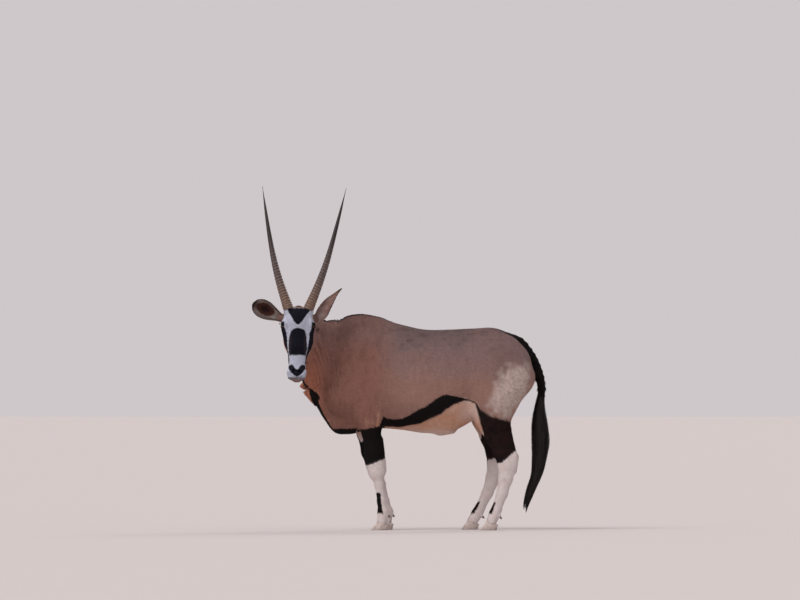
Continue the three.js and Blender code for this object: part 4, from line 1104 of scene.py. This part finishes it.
def lid_rings(s):
    slit, up, looks = eye_axes(s)
    angle = np.linspace(0, 2 * np.pi, LID_SIDES, endpoint=False)
    rim = almond(angle)
    upper = smooth(-0.2, 0.6, np.sin(angle))
    rings = []
    centre = mirrored(EYE_AT, s)
    for out, radius, share in LID_RINGS:
        reach = rim + out * (1 + 0.25 * upper)
        flat = centre + np.outer(reach * np.cos(angle), slit) + np.outer(reach * np.sin(angle), up)
        height = np.sqrt(np.maximum(radius**2 - reach**2 * 0.8, 16))
        near = flat + np.outer(height, looks)
        on_face = cast(bare_head, flat - looks * 6, np.broadcast_to(looks, flat.shape), 60, -2.2)
        on_face = on_face + looks * LID_LIFT.get(out, 0.5)
        crease = LID_CREASE.get(out, 0) * upper
        rings.append(near * (1 - share) + on_face * share + np.outer(crease, looks))
    return rings


lid_points = []
for s in (1, -1):
    rings = lid_rings(s)
    start = len(skin_points) + sum(len(p) for p in lid_points)
    made = from_head(np.concatenate(rings))
    faces = sheet_faces(len(rings), LID_SIDES, start, closed=True)
    lid_points.append(made)
    skin_faces.insert(0, faces if s < 0 else faces[:, ::-1])
lid_normals = [np.broadcast_to(eye_axes(s)[2] @ HEAD_TURN.T, p.shape) for s, p in zip((1, -1), lid_points)]
lid_count = sum(len(p) for p in lid_points)
skin_points = np.concatenate([skin_points, *lid_points])
skin_normals = np.concatenate([skin_normals, *lid_normals])

# An ear is a leaf rolled into a tube at its root and open towards its tip. For each side: where it
# points, where its hollow opens, its length and its half width along it.
EAR_ROOT = (92, 116, 52)
EAR_SHARES = [0, 0.16, 0.34, 0.58, 0.8, 0.93, 1]
EARS = {
    1: (
        unit((0.62, 0.14, 0.777)),
        (0.62, 0.6, -0.5),
        253,
        profile(EAR_SHARES, [21, 30, 43, 41, 21, 11, 4]),
    ),
    -1: (
        unit((-0.87, -0.3, 0.38)),
        (-0.28, -0.96, -0.1),
        207,
        profile(EAR_SHARES, [21, 23, 35, 54, 56, 42, 16]),
    ),
}
EAR_WALL = 4.0
EAR_ROWS = 44
EAR_COLUMNS = 30
ear_roll = profile([0, 0.2, 0.45, 0.75, 1], [2.6, 2.05, 1.42, 1.12, 0.8])


def ear_point(s, u, v, inner):
    """u runs from the root to the tip, v from edge to edge, and inner is 0 outside and 1 in the hollow."""
    along, opens, length, reach = EARS[s]
    opened = unit(np.subtract(opens, along * (np.asarray(opens) @ along)))
    across = np.cross(along, opened)
    wall = inner * EAR_WALL * (1 - 0.8 * v * v) * (1 - 0.5 * u)
    ripple = 0.8 * np.sin(26 * v + 9 * u) * u * np.abs(v)
    radius = reach(u) * (0.66 + 0.34 * smooth(0, 0.15, u)) - wall + ripple
    angle = v * ear_roll(u)
    lean = 10 * np.sin(np.pi * u)
    return (
        mirrored(EAR_ROOT, s)
        + np.outer((u - 0.09) * length, along)
        + np.outer(-radius * np.cos(angle) + reach(u) * 0.55 - lean, opened)
        + np.outer(radius * np.sin(angle), across)
    )


def ear_tint(u, v, inner, points):
    fine, lump = lattice_noise(points, 5, 1), lattice_noise(points, 20, 2)
    edge = np.abs(v) + 0.05 * fine
    back = mix(EAR_BACK, WHITE, 0.2 * smooth(0.5, 0.1, u) + 0.15 * lump)
    hollow = np.hypot((u - 0.6) / 0.3, v / 0.6) + 0.08 * lump + 0.06 * fine
    # painted shade: darker deep in the rolled root and towards the middle of the hollow, black in its
    # deepest part
    hair = mix(EAR_HAIR, EAR_HOLLOW_SHADE, 0.5 * smooth(0.35, 0.15, u) + 0.2 * fine)
    inside = mix(hair, EAR_HOLLOW_SHADE, smooth(1.12, 0.8, hollow))
    tint = mix(back, mix(inside, BLACK, 0.75 * smooth(0.62, 0.2, hollow)), inner)
    rim = smooth(0.86, 0.94, edge) * smooth(0.25, 0.5, u)
    return mix(tint, DARK_BROWN, 0.9 * np.maximum(rim, smooth(0.78, 0.95, u + 0.03 * fine)))


ear_tints = []
u, v = np.meshgrid(np.linspace(0, 1, EAR_ROWS), np.linspace(-1, 1, EAR_COLUMNS), indexing="ij")
u, v = u.reshape(-1), v.reshape(-1)
size = EAR_ROWS * EAR_COLUMNS
for s in (1, -1):
    start = len(skin_points)
    sides = [from_head(ear_point(s, u, v, inner)) for inner in (0, 1)]
    skin_points = np.concatenate([skin_points, *sides])
    ear_tints += [ear_tint(u, v, inner, sides[inner]) for inner in (0, 1)]
    outer = sheet_faces(EAR_ROWS, EAR_COLUMNS, start)
    rows = start + np.arange(EAR_ROWS) * EAR_COLUMNS
    tip = rows[-1] + np.arange(EAR_COLUMNS)
    edges = []
    for line, turn in ((rows, 1), (rows + EAR_COLUMNS - 1, -1), (tip, 1)):
        strip = np.stack([line[:-1], line[1:], line[1:] + size, line[:-1] + size], 1)
        edges.append(strip[:, ::turn])
    skin_faces = [outer, outer[:, ::-1] + size, *edges, *skin_faces]

skin = make_object("skin", skin_points, skin_faces)
flesh = len(skin_normals)
tint = coat_tint(skin_points[:flesh], skin_normals)
tint[flesh - lid_count :] = mix(tint[flesh - lid_count :], BLACK, 0.9)
paint(skin, "tint", np.concatenate([tint * 0.92, *ear_tints]))
LEG_NODES = [f"leg_{leg.name}" for leg in LEGS]
SKIN_NODES = ["torso", "neck", "head", "ear_left", "ear_right", "tail_dock", *LEG_NODES]
finish_piece(skin, SKIN_LOOK, "coat", *SKIN_NODES)


PATCH = 0.0015  # half of a tuft's patch on its map


class Tufts:
    """Short flat tufts, each with five corners: two at the root, two halfway, one at the tip."""

    def __init__(self):
        self.parts = {}

    def add(self, zone, root, normal, lie, length, width, lift, tint, uv):
        lie = unit(lie - normal * np.einsum("ij,ij->i", lie, normal)[:, None])
        side = np.cross(normal, lie)
        n = len(root)
        length, width, lift = (np.broadcast_to(a, n)[:, None] for a in (length, width, lift))
        turn = random.normal(0, 0.16, (n, 1))
        lie = unit(lie + side * turn)
        side = np.cross(normal, lie)
        base = root - normal * 0.9
        middle = root + lie * length * 0.5 + normal * lift * 0.62
        tip = root + lie * length + side * width * turn * 0.6 + normal * lift
        at_base, at_middle = side * width * 0.35, side * width * 0.5
        points = np.stack(
            [base - at_base, base + at_base, middle - at_middle, middle + at_middle, tip], 1
        )
        shade = 1 + random.normal(0, 0.085, (n, 1))
        # darker at the root and lighter at the tip: painted shade under the coat and painted light on its
        # tips
        tints = np.stack([tint * shade * f for f in (0.82, 0.82, 1.0, 1.0, 1.12)], 1)
        corners = np.array([(-1, -1), (1, -1), (-1, 0.2), (1, 0.2), (0, 1)]) * PATCH
        uvs = 0.004 + 0.992 * uv[:, None] + corners
        self.parts.setdefault(zone, []).append((points, tints, uvs))

    def build(self, zone):
        points, tints, uvs = (np.concatenate(a) for a in zip(*self.parts[zone]))
        first = np.arange(len(points))[:, None] * 5
        faces = [first + (0, 2, 3, 1), first + (2, 4, 3)]
        thing = make_object(f"coat_{zone}", points.reshape(-1, 3), faces)
        paint(thing, "tint", tints.reshape(-1, 3))
        store_map(thing, uvs.reshape(-1, 2))
        finish_piece(thing, COAT_LOOK, "coat")


tufts = Tufts()


def quad_areas(points, quads):
    a, b, c, d = (points[quads[:, i]] for i in range(4))
    return 0.5 * np.linalg.norm(np.cross(c - a, d - b), axis=1)


TRUNK_ZONE, LEG_ZONE, HEAD_ZONE = 0, 1, 2
LEG_TOP = 520
BODY_START = -640
BODY_LENGTH = 1460


def coat_zone(points):
    z = points[:, 2]
    q = to_head(points)
    head = (q[:, 1] < 150) & (np.abs(q[:, 0]) < 130) & (q[:, 2] > -330) & (q[:, 2] < 150)
    return np.where(head, HEAD_ZONE, np.where(z < LEG_TOP, LEG_ZONE, TRUNK_ZONE))


LEG_LIE = np.array([0.12, 0, -1])
NECK_LIE = np.array([0.75, 0.45, -0.75])


def lie_of(points, normal):
    """Which way the coat lies."""
    x, z = points[:, 0], points[:, 2]
    q = to_head(points)
    trunk_lie = columns(1, 0, -0.2 - 0.5 * np.abs(normal[:, 1]))
    inwards, upwards = 0.35 + smooth(20, 90, q[:, 1]), 1.1 - 1.2 * smooth(30, 110, q[:, 1])
    head_lie = columns(0.25 * np.sign(q[:, 0]), inwards, upwards) @ HEAD_TURN.T
    to_leg = smooth(720, 560, z)[:, None]
    to_neck = (smooth(-300, -460, x) * smooth(640, 800, z))[:, None]
    lie = trunk_lie * (1 - to_leg) + LEG_LIE * to_leg
    lie = lie * (1 - to_neck) + NECK_LIE * to_neck
    to_face = (coat_zone(points) == HEAD_ZONE)[:, None]
    return np.where(to_face, head_lie, lie)


def spread(points, quads, normals, count, weight):
    """Random places on the quads, more where weight is high."""
    area = quad_areas(points, quads) * weight
    total = np.cumsum(area)
    face = np.searchsorted(total, random.random(count) * total[-1])
    face = np.minimum(face, len(quads) - 1)
    u, v = random.random((2, count, 1))
    corners = quads[face]
    weights = ((1 - u) * (1 - v), u * (1 - v), u * v, (1 - u) * v)
    spot = sum(w * points[corners[:, i]] for i, w in enumerate(weights))
    facing = unit(sum(w * normals[corners[:, i]] for i, w in enumerate(weights)))
    return spot, facing


def coat_map(points, zone):
    """Place of a root on an unwrap of the skin: round the part and along it, each from 0 to 1."""
    x, y, z = points.T
    if zone == HEAD_ZONE:
        q = to_head(points)
        return np.stack([np.arctan2(q[:, 0], 75 - q[:, 1]) / (2 * np.pi) + 0.5, (q[:, 2] + 330) / 480], 1)
    if zone == LEG_ZONE:
        fore = x < LEGS_PART_X
        middle_x = np.where(fore, chain_x(FORE_JOINTS, z), chain_x(HIND_JOINTS, z))
        round_leg = np.arctan2(np.abs(y) - np.where(fore, FORE_Y, HIND_Y), near_leg_x(points) - middle_x)
        return np.stack([round_leg / (2 * np.pi) + 0.5, z / LEG_TOP], 1)
    middle = (trunk_low(x) + trunk_top(x)) / 2
    round_body = np.arctan2(np.abs(y), z - middle) / np.pi
    return np.stack([(x - BODY_START) / BODY_LENGTH, round_body], 1)


COAT = {
    TRUNK_ZONE: (290000, 60000, 11.0, 2.5, 3.5),
    LEG_ZONE: (66000, 20000, 7.5, 2.1, 2.2),
    HEAD_ZONE: (64000, 20000, 5.0, 1.5, 1.6),
}
TRUNK_PARTS = 5
ZONE_NAMES = {
    TRUNK_ZONE: [f"trunk_{i}_{side}" for i in range(TRUNK_PARTS) for side in ("left", "right")],
    LEG_ZONE: ["fore_left", "fore_right", "hind_left", "hind_right"],
    HEAD_ZONE: ["head"],
}


def coat_part(zone, points):
    """The place of each root's piece in the names of its zone."""
    x, far = points[:, 0], points[:, 1] > 0
    if zone == HEAD_ZONE:
        return np.zeros(len(points), int)
    if zone == LEG_ZONE:
        return (x > LEGS_PART_X) * 2 + far
    share = (x - BODY_START) / BODY_LENGTH
    return np.floor(share * 4.999).astype(int).clip(0, TRUNK_PARTS - 1) * 2 + far


middles = skin_points[quads].mean(1)
zone_of = coat_zone(middles)
q = to_head(middles)
nose_bare = (distance_to_line(q[:, 0], q[:, 2], NOSE_V) < 7) & (q[:, 1] < 60)
mirrored_q = np.abs(q[:, :1]) * (1, 0, 0) + q * (0, 1, 1)
eye_bare = np.linalg.norm(mirrored_q - EYE_AT - EYE_LOOKS * 16, axis=1) < 17
for zone, (full, quick, length, width, lift) in COAT.items():
    weight = (zone_of == zone) & ~((zone == HEAD_ZONE) & (nose_bare | eye_bare))
    root, facing = spread(skin_points, quads, normal, full, weight)
    grow = random.normal(1, 0.18, len(root)).clip(0.5, 1.6)
    lift = lift * random.uniform(0.35, 1.05, len(root))
    part = coat_part(zone, root)
    tint, uv = coat_tint(root, facing), coat_map(root, zone)
    rows = (root, facing, lie_of(root, facing), length * grow, lift, tint, uv)
    for i, name in enumerate(ZONE_NAMES[zone]):
        if (part == i).any():
            at, out, lie, long, high, tint, uv = (row[part == i] for row in rows)
            tufts.add(name, at, out, lie, long, width, high, tint, uv)

# Ears: short fur outside, longer pale hair along the inner edges.
for s, zone in ((1, "ear_left"), (-1, "ear_right")):
    n = 4200
    u, v = random.uniform(0.02, 0.97, n), random.uniform(-0.98, 0.98, n)
    at = from_head(ear_point(s, u, v, 0))
    ahead = from_head(ear_point(s, np.minimum(u + 0.01, 1), v, 0)) - at
    across = from_head(ear_point(s, u, v + 0.01, 0)) - at
    facing = unit(np.cross(across, ahead))
    facing *= np.sign(np.einsum("ij,ij->i", facing, at - from_head(ear_point(s, u, v, 1))))[:, None]
    uv = np.stack([u, v / 2 + 0.5], 1)
    tufts.add(zone, at, facing, ahead, 8.0, 2.2, 1.2, ear_tint(u, v, 0, at), uv * 0.5)
    n //= 3
    u = random.uniform(0.12, 0.9, n)
    v = np.sign(random.uniform(-1, 1, n)) * random.uniform(0.7, 0.97, n)
    at = from_head(ear_point(s, u, v, 1))
    ahead = from_head(ear_point(s, np.minimum(u + 0.01, 1), v, 1)) - at
    inward = from_head(ear_point(s, u, v * 0.3, 1)) - at
    facing = unit(at - from_head(ear_point(s, u, v, 0)))
    lie = unit(ahead) * 0.6 + unit(inward)
    # some of the hairs darkened with the painted shade of the hollow
    pale = mix(EAR_HAIR, EAR_HOLLOW_SHADE, random.uniform(0, 0.6, n))
    tufts.add(zone, at, facing, lie, 12.0, 1.8, 4.0, pale, np.stack([u, v / 2 + 0.5], 1) * 0.48 + 0.51)

# Lashes along the upper lids.
LASHES = 150
for s in (1, -1):
    slit, up, looks = eye_axes(s)
    rim = lid_rings(s)[3]
    place_on = random.integers(2, LID_SIDES // 2 - 1, LASHES)
    at = from_head(rim[place_on])
    outward = unit(rim[place_on] - mirrored(EYE_AT, s) - looks * 18)
    lie = (looks + 0.5 * outward) @ HEAD_TURN.T
    facing = np.broadcast_to(up @ HEAD_TURN.T, at.shape)
    tint = np.broadcast_to(BLACK, at.shape)
    length = random.uniform(13, 20, LASHES)
    tufts.add("head", at, facing, lie, length, 1.7, 3.0, tint, coat_map(at, HEAD_ZONE))

# Crest: longer dark hair along the top of neck and withers, and over the dock.
n = 5200
share = random.random(n)
CREST = [(-552, -150), (-534, -118), (-486, -60), (-436, -26), (-380, -12), (-250, -4), (-60, 0)]
crest_line = smooth_path([(*spot, 0) for spot in CREST], 200)
spot = (share * 199).astype(int)
at = crest_line[spot]
back = unit(np.gradient(crest_line, axis=0))[spot]
across = np.cross(back, (0, 0, 1))
at = at + across * random.normal(0, 5, (n, 1)) + back * random.uniform(-3, 3, (n, 1))
at[:, 2] = 1000
root = cast(whole_field, at, np.broadcast_to((0, 0, 1.0), at.shape), 300, -5)
facing = unit(gradient(whole_field, root)[1])
tall = (15 - 10 * smooth(0.3, 0.62, share)) * random.uniform(0.6, 1.15, n)
tint = mix(BLACK, BACK, random.uniform(0, 0.3, n) + 0.25 * smooth(0.7, 1, share))
lie, uv = back + facing * 0.35, coat_map(root, TRUNK_ZONE)
tufts.add("crest", root, facing, lie, 24 - 10 * share, 2.6, tall, tint, uv)
on_dock = distance_to_line(middles[:, 0], middles[:, 2], tail_path[:, [0, 2]]) < 34
weight = on_dock & (middles[:, 0] > 560) & (np.abs(middles[:, 1]) < 36)
n = 6000
root, facing = spread(skin_points, quads, normal, n, weight)
fine_path = smooth_path(TAIL_LINE, 120)
nearest = np.argmin(((root[:, None, ::2] - fine_path[None, :-1, ::2]) ** 2).sum(-1), axis=1)
down = unit(np.diff(fine_path, axis=0))[nearest]
low = smooth(980, 800, root[:, 2])
tint = np.broadcast_to(BLACK, root.shape)
tufts.add("crest", root, facing, down, 14 + 22 * low, 2.8, 2.4 + 3.6 * low, tint, coat_map(root, TRUNK_ZONE))

for zone in tufts.parts:
    tufts.build(zone)


def loft(rings):
    """Points and faces of a closed loft over rings of equal length, with a fan at each end."""
    rings = np.asarray(rings)
    rows, columns = rings.shape[:2]
    points = np.concatenate([rings.reshape(-1, 3), rings[:1].mean(1), rings[-1:].mean(1)])
    j = np.arange(columns)
    k = (j + 1) % columns
    low = np.stack([np.full(columns, rows * columns), k, j], 1)
    top = (rows - 1) * columns
    high = np.stack([np.full(columns, rows * columns + 1), top + j, top + k], 1)
    return points, [sheet_faces(rows, columns, 0, closed=True), low, high]


HORN_ROOT = (55, 46, 96)
HORN_LENGTH = 772
HORN_RIDGES = 24
HORN_SUNK = 0.006
HORN_RINGED = 0.52
HORN_SIDES = 40
horn_radius = profile([0, 0.06, 0.12, 0.27, 0.42, 0.58, 0.8, 1], [30, 27.5, 25.2, 20.5, 16.5, 13, 7.6, 1.2])
horn_spread = profile([0, 0.12, 0.3, 0.5, 1], [20.3, 20.2, 16.4, 12.5, 10.3])
horn_sweep = profile([0, 0.4, 1], [9, 16, 22])


def horn(s):
    ringed = np.linspace(-HORN_SUNK, HORN_RINGED + 0.02, 240)
    t = np.concatenate([ringed, np.linspace(HORN_RINGED + 0.03, 1, 40)])
    spread_by, sweep_by = np.radians(horn_spread(t)), np.radians(horn_sweep(t))
    along = unit(np.stack([s * np.tan(spread_by), np.tan(sweep_by), np.ones(len(t))], 1))
    step = np.diff(t, prepend=0)
    step[0] = t[0]
    at = mirrored(HORN_ROOT, s) + np.cumsum(along * step[:, None] * HORN_LENGTH, axis=0)
    out = unit(np.array([1.0, 0, 0]) - along * along[:, :1])
    back = np.cross(along, out)
    angle = np.linspace(0, 2 * np.pi, HORN_SIDES, endpoint=False)
    # the rings stand closer at the base, tilt a little and are strongest in front
    ring_at = np.clip(t / HORN_RINGED, 0, 1) ** 0.9 * HORN_RIDGES
    wave = ring_at[:, None] + 0.12 * np.sin(angle + s) + 0.1 * np.sin(ring_at[:, None] * 2.3)
    saw = np.abs(((wave % 1) - 0.42) / 0.58)
    ridge = smooth(1.0, 0.35, saw) - 0.45
    fade = smooth(0.0, 0.03, t) * smooth(HORN_RINGED + 0.02, HORN_RINGED - 0.12, t)
    front = 0.62 + 0.38 * np.maximum(-np.sin(angle), 0)
    radius = horn_radius(t)[:, None] * (1.01 + 0.17 * ridge * fade[:, None] * front)
    rings = (
        at[:, None]
        + (radius * 0.93 * np.cos(angle))[..., None] * out[:, None]
        + (radius * 1.1 * np.sin(angle))[..., None] * back[:, None]
    )
    points, faces = loft(rings)
    t_all = np.concatenate([np.repeat(t, HORN_SIDES), t[[0, -1]]])
    ridge_all = np.concatenate([(ridge * fade[:, None]).reshape(-1), [0, 0]])
    fibre = lattice_noise(points * (1, 1, 0.06), 2.5, 9)
    tint = mix(HORN_BASE, HORN_MIDDLE, smooth(0.02, 0.3, t_all))
    tint = mix(tint, HORN_TIP, smooth(0.3, 0.62, t_all + 0.05 * fibre))
    # lighter on the rings' ridges and darker in the grooves between them: painted light and painted shade
    tint = tint * (1 + 0.6 * ridge_all + 0.14 * fibre)[:, None]
    return from_head(points), faces, tint.clip(0, 1)


def tinted_piece(name, points, faces, tint, look, slot, node):
    thing = make_object(name, points, faces)
    paint(thing, "tint", tint)
    finish_piece(thing, look, slot, node)


for s, node in ((1, "horn_left"), (-1, "horn_right")):
    tinted_piece(f"ringed_{node}", *horn(s), HORN_LOOK, "horn", node)

HOOF_LENGTH, HOOF_HALF, HOOF_HEIGHT, HOOF_LEAN = 92, 19, 58, 26
HOOF_SIDES = 44


def hoof(leg, s):
    angle = np.linspace(0, 2 * np.pi, HOOF_SIDES, endpoint=False)
    forward = -np.cos(angle)
    narrow = 1 - 0.42 * np.maximum(-forward, 0) ** 2
    rings = []
    heights = [0, 1.2, 3, 6, 9, 12, 15, 19, 23, 27, 31, 35, 40, 46, 52, HOOF_HEIGHT]
    for i, z in enumerate(heights):
        t = z / HOOF_HEIGHT
        growth = 1 + 0.012 * (i % 2) - 0.05 * (z < 1)
        x = forward * (HOOF_LENGTH / 2) * (1 - 0.3 * t) * growth + HOOF_LEAN * t
        y = np.sin(angle) * HOOF_HALF * narrow * (1 - 0.1 * t) * growth
        inward = s * (2.5 - 2.5 * np.maximum(-forward, 0)) * 0.4
        x = leg.foot[0] - 14 + x
        y = leg.foot[1] + s * (HOOF_HALF + 1.2) + y - inward
        rings.append(np.stack([x, y, np.minimum(z, CORONET_Z + 3 - 0.3 * (x - leg.foot[0]))], 1))
    points, faces = loft(rings)
    scuff = lattice_noise(points, 9, 4)
    tint = mix(HOOF_TINT, HORN_BASE, 0.22 + 0.3 * scuff)
    return points, faces, tint * (0.75 + 0.3 * smooth(0, 30, points[:, 2]))[:, None]


def dewclaw(leg, s):
    """A small blunt claw that points back and down."""
    along = unit((0.66, s * 0.12, -0.74))
    at = leg.dewclaw(s) - along * 6
    out = unit(np.cross(along, (0, 1, 0)))
    across = np.cross(along, out)
    angle = np.linspace(0, 2 * np.pi, 20, endpoint=False)
    rings = []
    for t, r in ((0, 7), (0.25, 7.8), (0.5, 6.9), (0.72, 5.5), (0.88, 4.4), (0.97, 2.7), (1, 0.8)):
        spot = at + along * t * 28
        rings.append(spot + r * np.outer(np.cos(angle), out) + r * 0.85 * np.outer(np.sin(angle), across))
    points, faces = loft(rings)
    return points, faces, np.broadcast_to(DEWCLAW_TINT, points.shape)


for leg in LEGS:
    for s in (-1, 1):
        side = "outer" if s * leg.side > 0 else "inner"
        for kind, maker in (("hoof", hoof), ("dewclaw", dewclaw)):
            node = f"{kind}_{leg.name}_{side}"
            tinted_piece(f"fine_{node}", *maker(leg, s), HOOF_LOOK, "hoof", node)


def eye(s):
    """A dark ball with a low cornea, an iris and a level pupil."""
    slit, up, looks = eye_axes(s)
    rows, columns = 40, 48
    polar = np.linspace(0.02, np.pi - 0.02, rows)
    angle = np.linspace(0, 2 * np.pi, columns, endpoint=False)
    bulge = 1.2 * smooth(0.62, 0.2, polar)
    radius = EYE_RADIUS - 0.6 + bulge
    direction = (
        np.cos(polar)[:, None, None] * looks
        + (np.sin(polar)[:, None] * np.cos(angle))[..., None] * slit
        + (np.sin(polar)[:, None] * np.sin(angle))[..., None] * up
    )
    points, faces = loft(mirrored(EYE_AT, s) + direction * radius[:, None, None])
    flat = np.concatenate([direction.reshape(-1, 3), [looks, -looks]])
    across, high, deep = flat @ slit, flat @ up, flat @ looks
    iris = smooth(0.72, 0.8, deep)
    pupil = smooth(1.15, 0.9, np.hypot(across / 0.4, high / 0.2)) * (deep > 0)
    tint = mix(EYE_BROWN, IRIS_BROWN, iris)
    return from_head(points), faces, mix(tint, PUPIL_BLACK, pupil)


for s, node in ((1, "eye_left"), (-1, "eye_right")):
    tinted_piece(f"glossy_{node}", *eye(s), EYE_LOOK, "eye", node)


# The tail's brush: a core, darker than the strands as painted shade inside the brush, under long tapered
# strands.
BRUSH_X = profile(
    [95, 210, 308, 406, 504, 602, 700, 784, 846, 916],
    [690, 717, 755, 771, 777, 771, 773, 782, 777, 757],
)
BRUSH_HALF = profile(
    [95, 140, 210, 308, 406, 504, 602, 700, 784, 916],
    [8, 17, 26, 33, 43, 53, 47, 29, 19, 18],
)
BRUSH_DEPTH = 0.72  # its depth over its width
BRUSH_CORE_HALF = 0.62  # the core's width over the brush's
BRUSH_CORE_TOP = 812
BRUSH_TOP = 900
BRUSH_END = 96


def brush_place(z, angle, out):
    half = BRUSH_HALF(z) * out
    return columns(BRUSH_X(z) + half * np.cos(angle), half * BRUSH_DEPTH * np.sin(angle), z)


z = np.linspace(BRUSH_CORE_TOP, BRUSH_END + 90, 40)
angle = np.linspace(0, 2 * np.pi, 20, endpoint=False)
core, core_faces = loft(brush_place(z[:, None], angle, BRUSH_CORE_HALF))
n = 2600
SEGMENTS = 8
LOCKS = 9
lock = random.integers(0, LOCKS, n)
lock_angle = np.linspace(0, 2 * np.pi, LOCKS, endpoint=False)[lock]
lock_end = (BRUSH_END + 90 * random.random(LOCKS) * (np.arange(LOCKS) > 1))[lock]
start = BRUSH_TOP - (BRUSH_TOP - 300) * random.random(n) ** 0.85
end = np.maximum(start - random.uniform(230, 420, n), lock_end + random.exponential(14, n))
angle = random.uniform(0, 2 * np.pi, n)
out = np.sqrt(random.uniform(0.35, 1.0, n))
t = np.linspace(0, 1, SEGMENTS + 1)
z = start[:, None] + (end - start)[:, None] * t
drift = random.normal(0, 0.3, (n, 1)) * t + 0.08 * np.sin(7 * t + angle[:, None])
to_lock = (lock_angle - angle + np.pi) % (2 * np.pi) - np.pi
drift += 0.9 * to_lock[:, None] * smooth(330, 150, z)  # the ends gather into separate locks
reach = out[:, None] * (0.5 + 0.5 * smooth(0, 0.35, t)) * (1 + 0.05 * np.sin(9 * t + 5 * angle[:, None]))
middle = brush_place(z, angle[:, None] + drift, reach)
taper = np.sin(np.pi * np.clip(0.12 + 0.86 * t, 0, 1)) ** 0.6 * (1 - 0.45 * t)
width = random.uniform(2.2, 4.2, (n, 1)) * taper
turned = angle[:, None] + drift + np.pi / 2
side = columns(np.cos(turned), np.sin(turned), 0)
ribbon = np.stack([middle - side * width[..., None] / 2, middle + side * width[..., None] / 2], 2)
first = np.arange(n)[:, None, None] * (SEGMENTS + 1) * 2 + np.arange(SEGMENTS)[None, :, None] * 2
strand_faces = (first + np.array([0, 1, 3, 2])).reshape(-1, 4) + len(core)
strand_points = ribbon.reshape(-1, 3)
brush = make_object("brush", np.concatenate([core, strand_points]), [*core_faces, strand_faces])
shade = np.repeat(random.uniform(0.6, 1.9, n), (SEGMENTS + 1) * 2)
strand_tint = STRAND_BLACK * shade[:, None]
# painted shade: the core darker than the black strands
paint(brush, "tint", np.concatenate([np.broadcast_to(BLACK * 0.6, core.shape), strand_tint]))
round_core = np.arctan2(core[:, 1], core[:, 0] - BRUSH_X(core[:, 2]))
around = np.concatenate([round_core, np.repeat(angle, (SEGMENTS + 1) * 2)])
down = np.concatenate([core[:, 2], z.repeat(2, axis=1).reshape(-1)])
store_map(brush, np.stack([(around / (2 * np.pi)) % 1, (down - 80) / 760], 1))
finish_piece(brush, BRUSH_LOOK, "tail", "tail_brush")


FRAME_WIDTH = 4.48
FRAME_FAR = 45.0
CAMERA_X = place((-11, 0, 0))[0]
camera = bpy.data.objects.new("camera", bpy.data.cameras.new("camera"))
bpy.context.collection.objects.link(camera)
camera.location = (CAMERA_X, -FRAME_FAR, 0.73)
aim = Vector((CAMERA_X, 0, 1.288))
camera.rotation_euler = (aim - camera.location).to_track_quat("-Z", "Y").to_euler()
camera.data.lens = camera.data.sensor_width * FRAME_FAR / FRAME_WIDTH
camera.data.clip_end = 1000
bpy.context.scene.camera = camera

floor_mesh = bpy.data.meshes.new("floor")
floor_mesh.from_pydata([(-300, -300, 0), (300, -300, 0), (300, 300, 0), (-300, 300, 0)], [], [(0, 1, 2, 3)])
floor = bpy.data.objects.new("floor", floor_mesh)
bpy.context.collection.objects.link(floor)
floor_mesh.materials.append(material("floor", 0.9, (0.1, 6), 0.02, tint=(0.6, 0.565, 0.56)))

world = bpy.data.worlds.new("world")
bpy.context.scene.world = world
world.use_nodes = True
SKY = world.node_tree.nodes["Background"].inputs
SKY["Color"].default_value = (0.86, 0.8, 0.82, 1)
SKY["Strength"].default_value = 0.72
# Soft suns: where they stand, in degrees from the camera's side and above the floor.
for name, azimuth, elevation, soft, power, colour in (
    ("key", -48, 46, 35, 1.5, (1.0, 0.95, 0.9)),
    ("rim", 150, 30, 25, 0.7, (1.0, 0.92, 0.85)),
):
    light = bpy.data.objects.new(name, bpy.data.lights.new(name, "SUN"))
    bpy.context.collection.objects.link(light)
    light.rotation_euler = (math.radians(90 - elevation), 0, math.radians(azimuth))
    light.data.angle = math.radians(soft)
    light.data.energy = power
    light.data.color = colour
bpy.context.scene.view_settings.view_transform = "Standard"
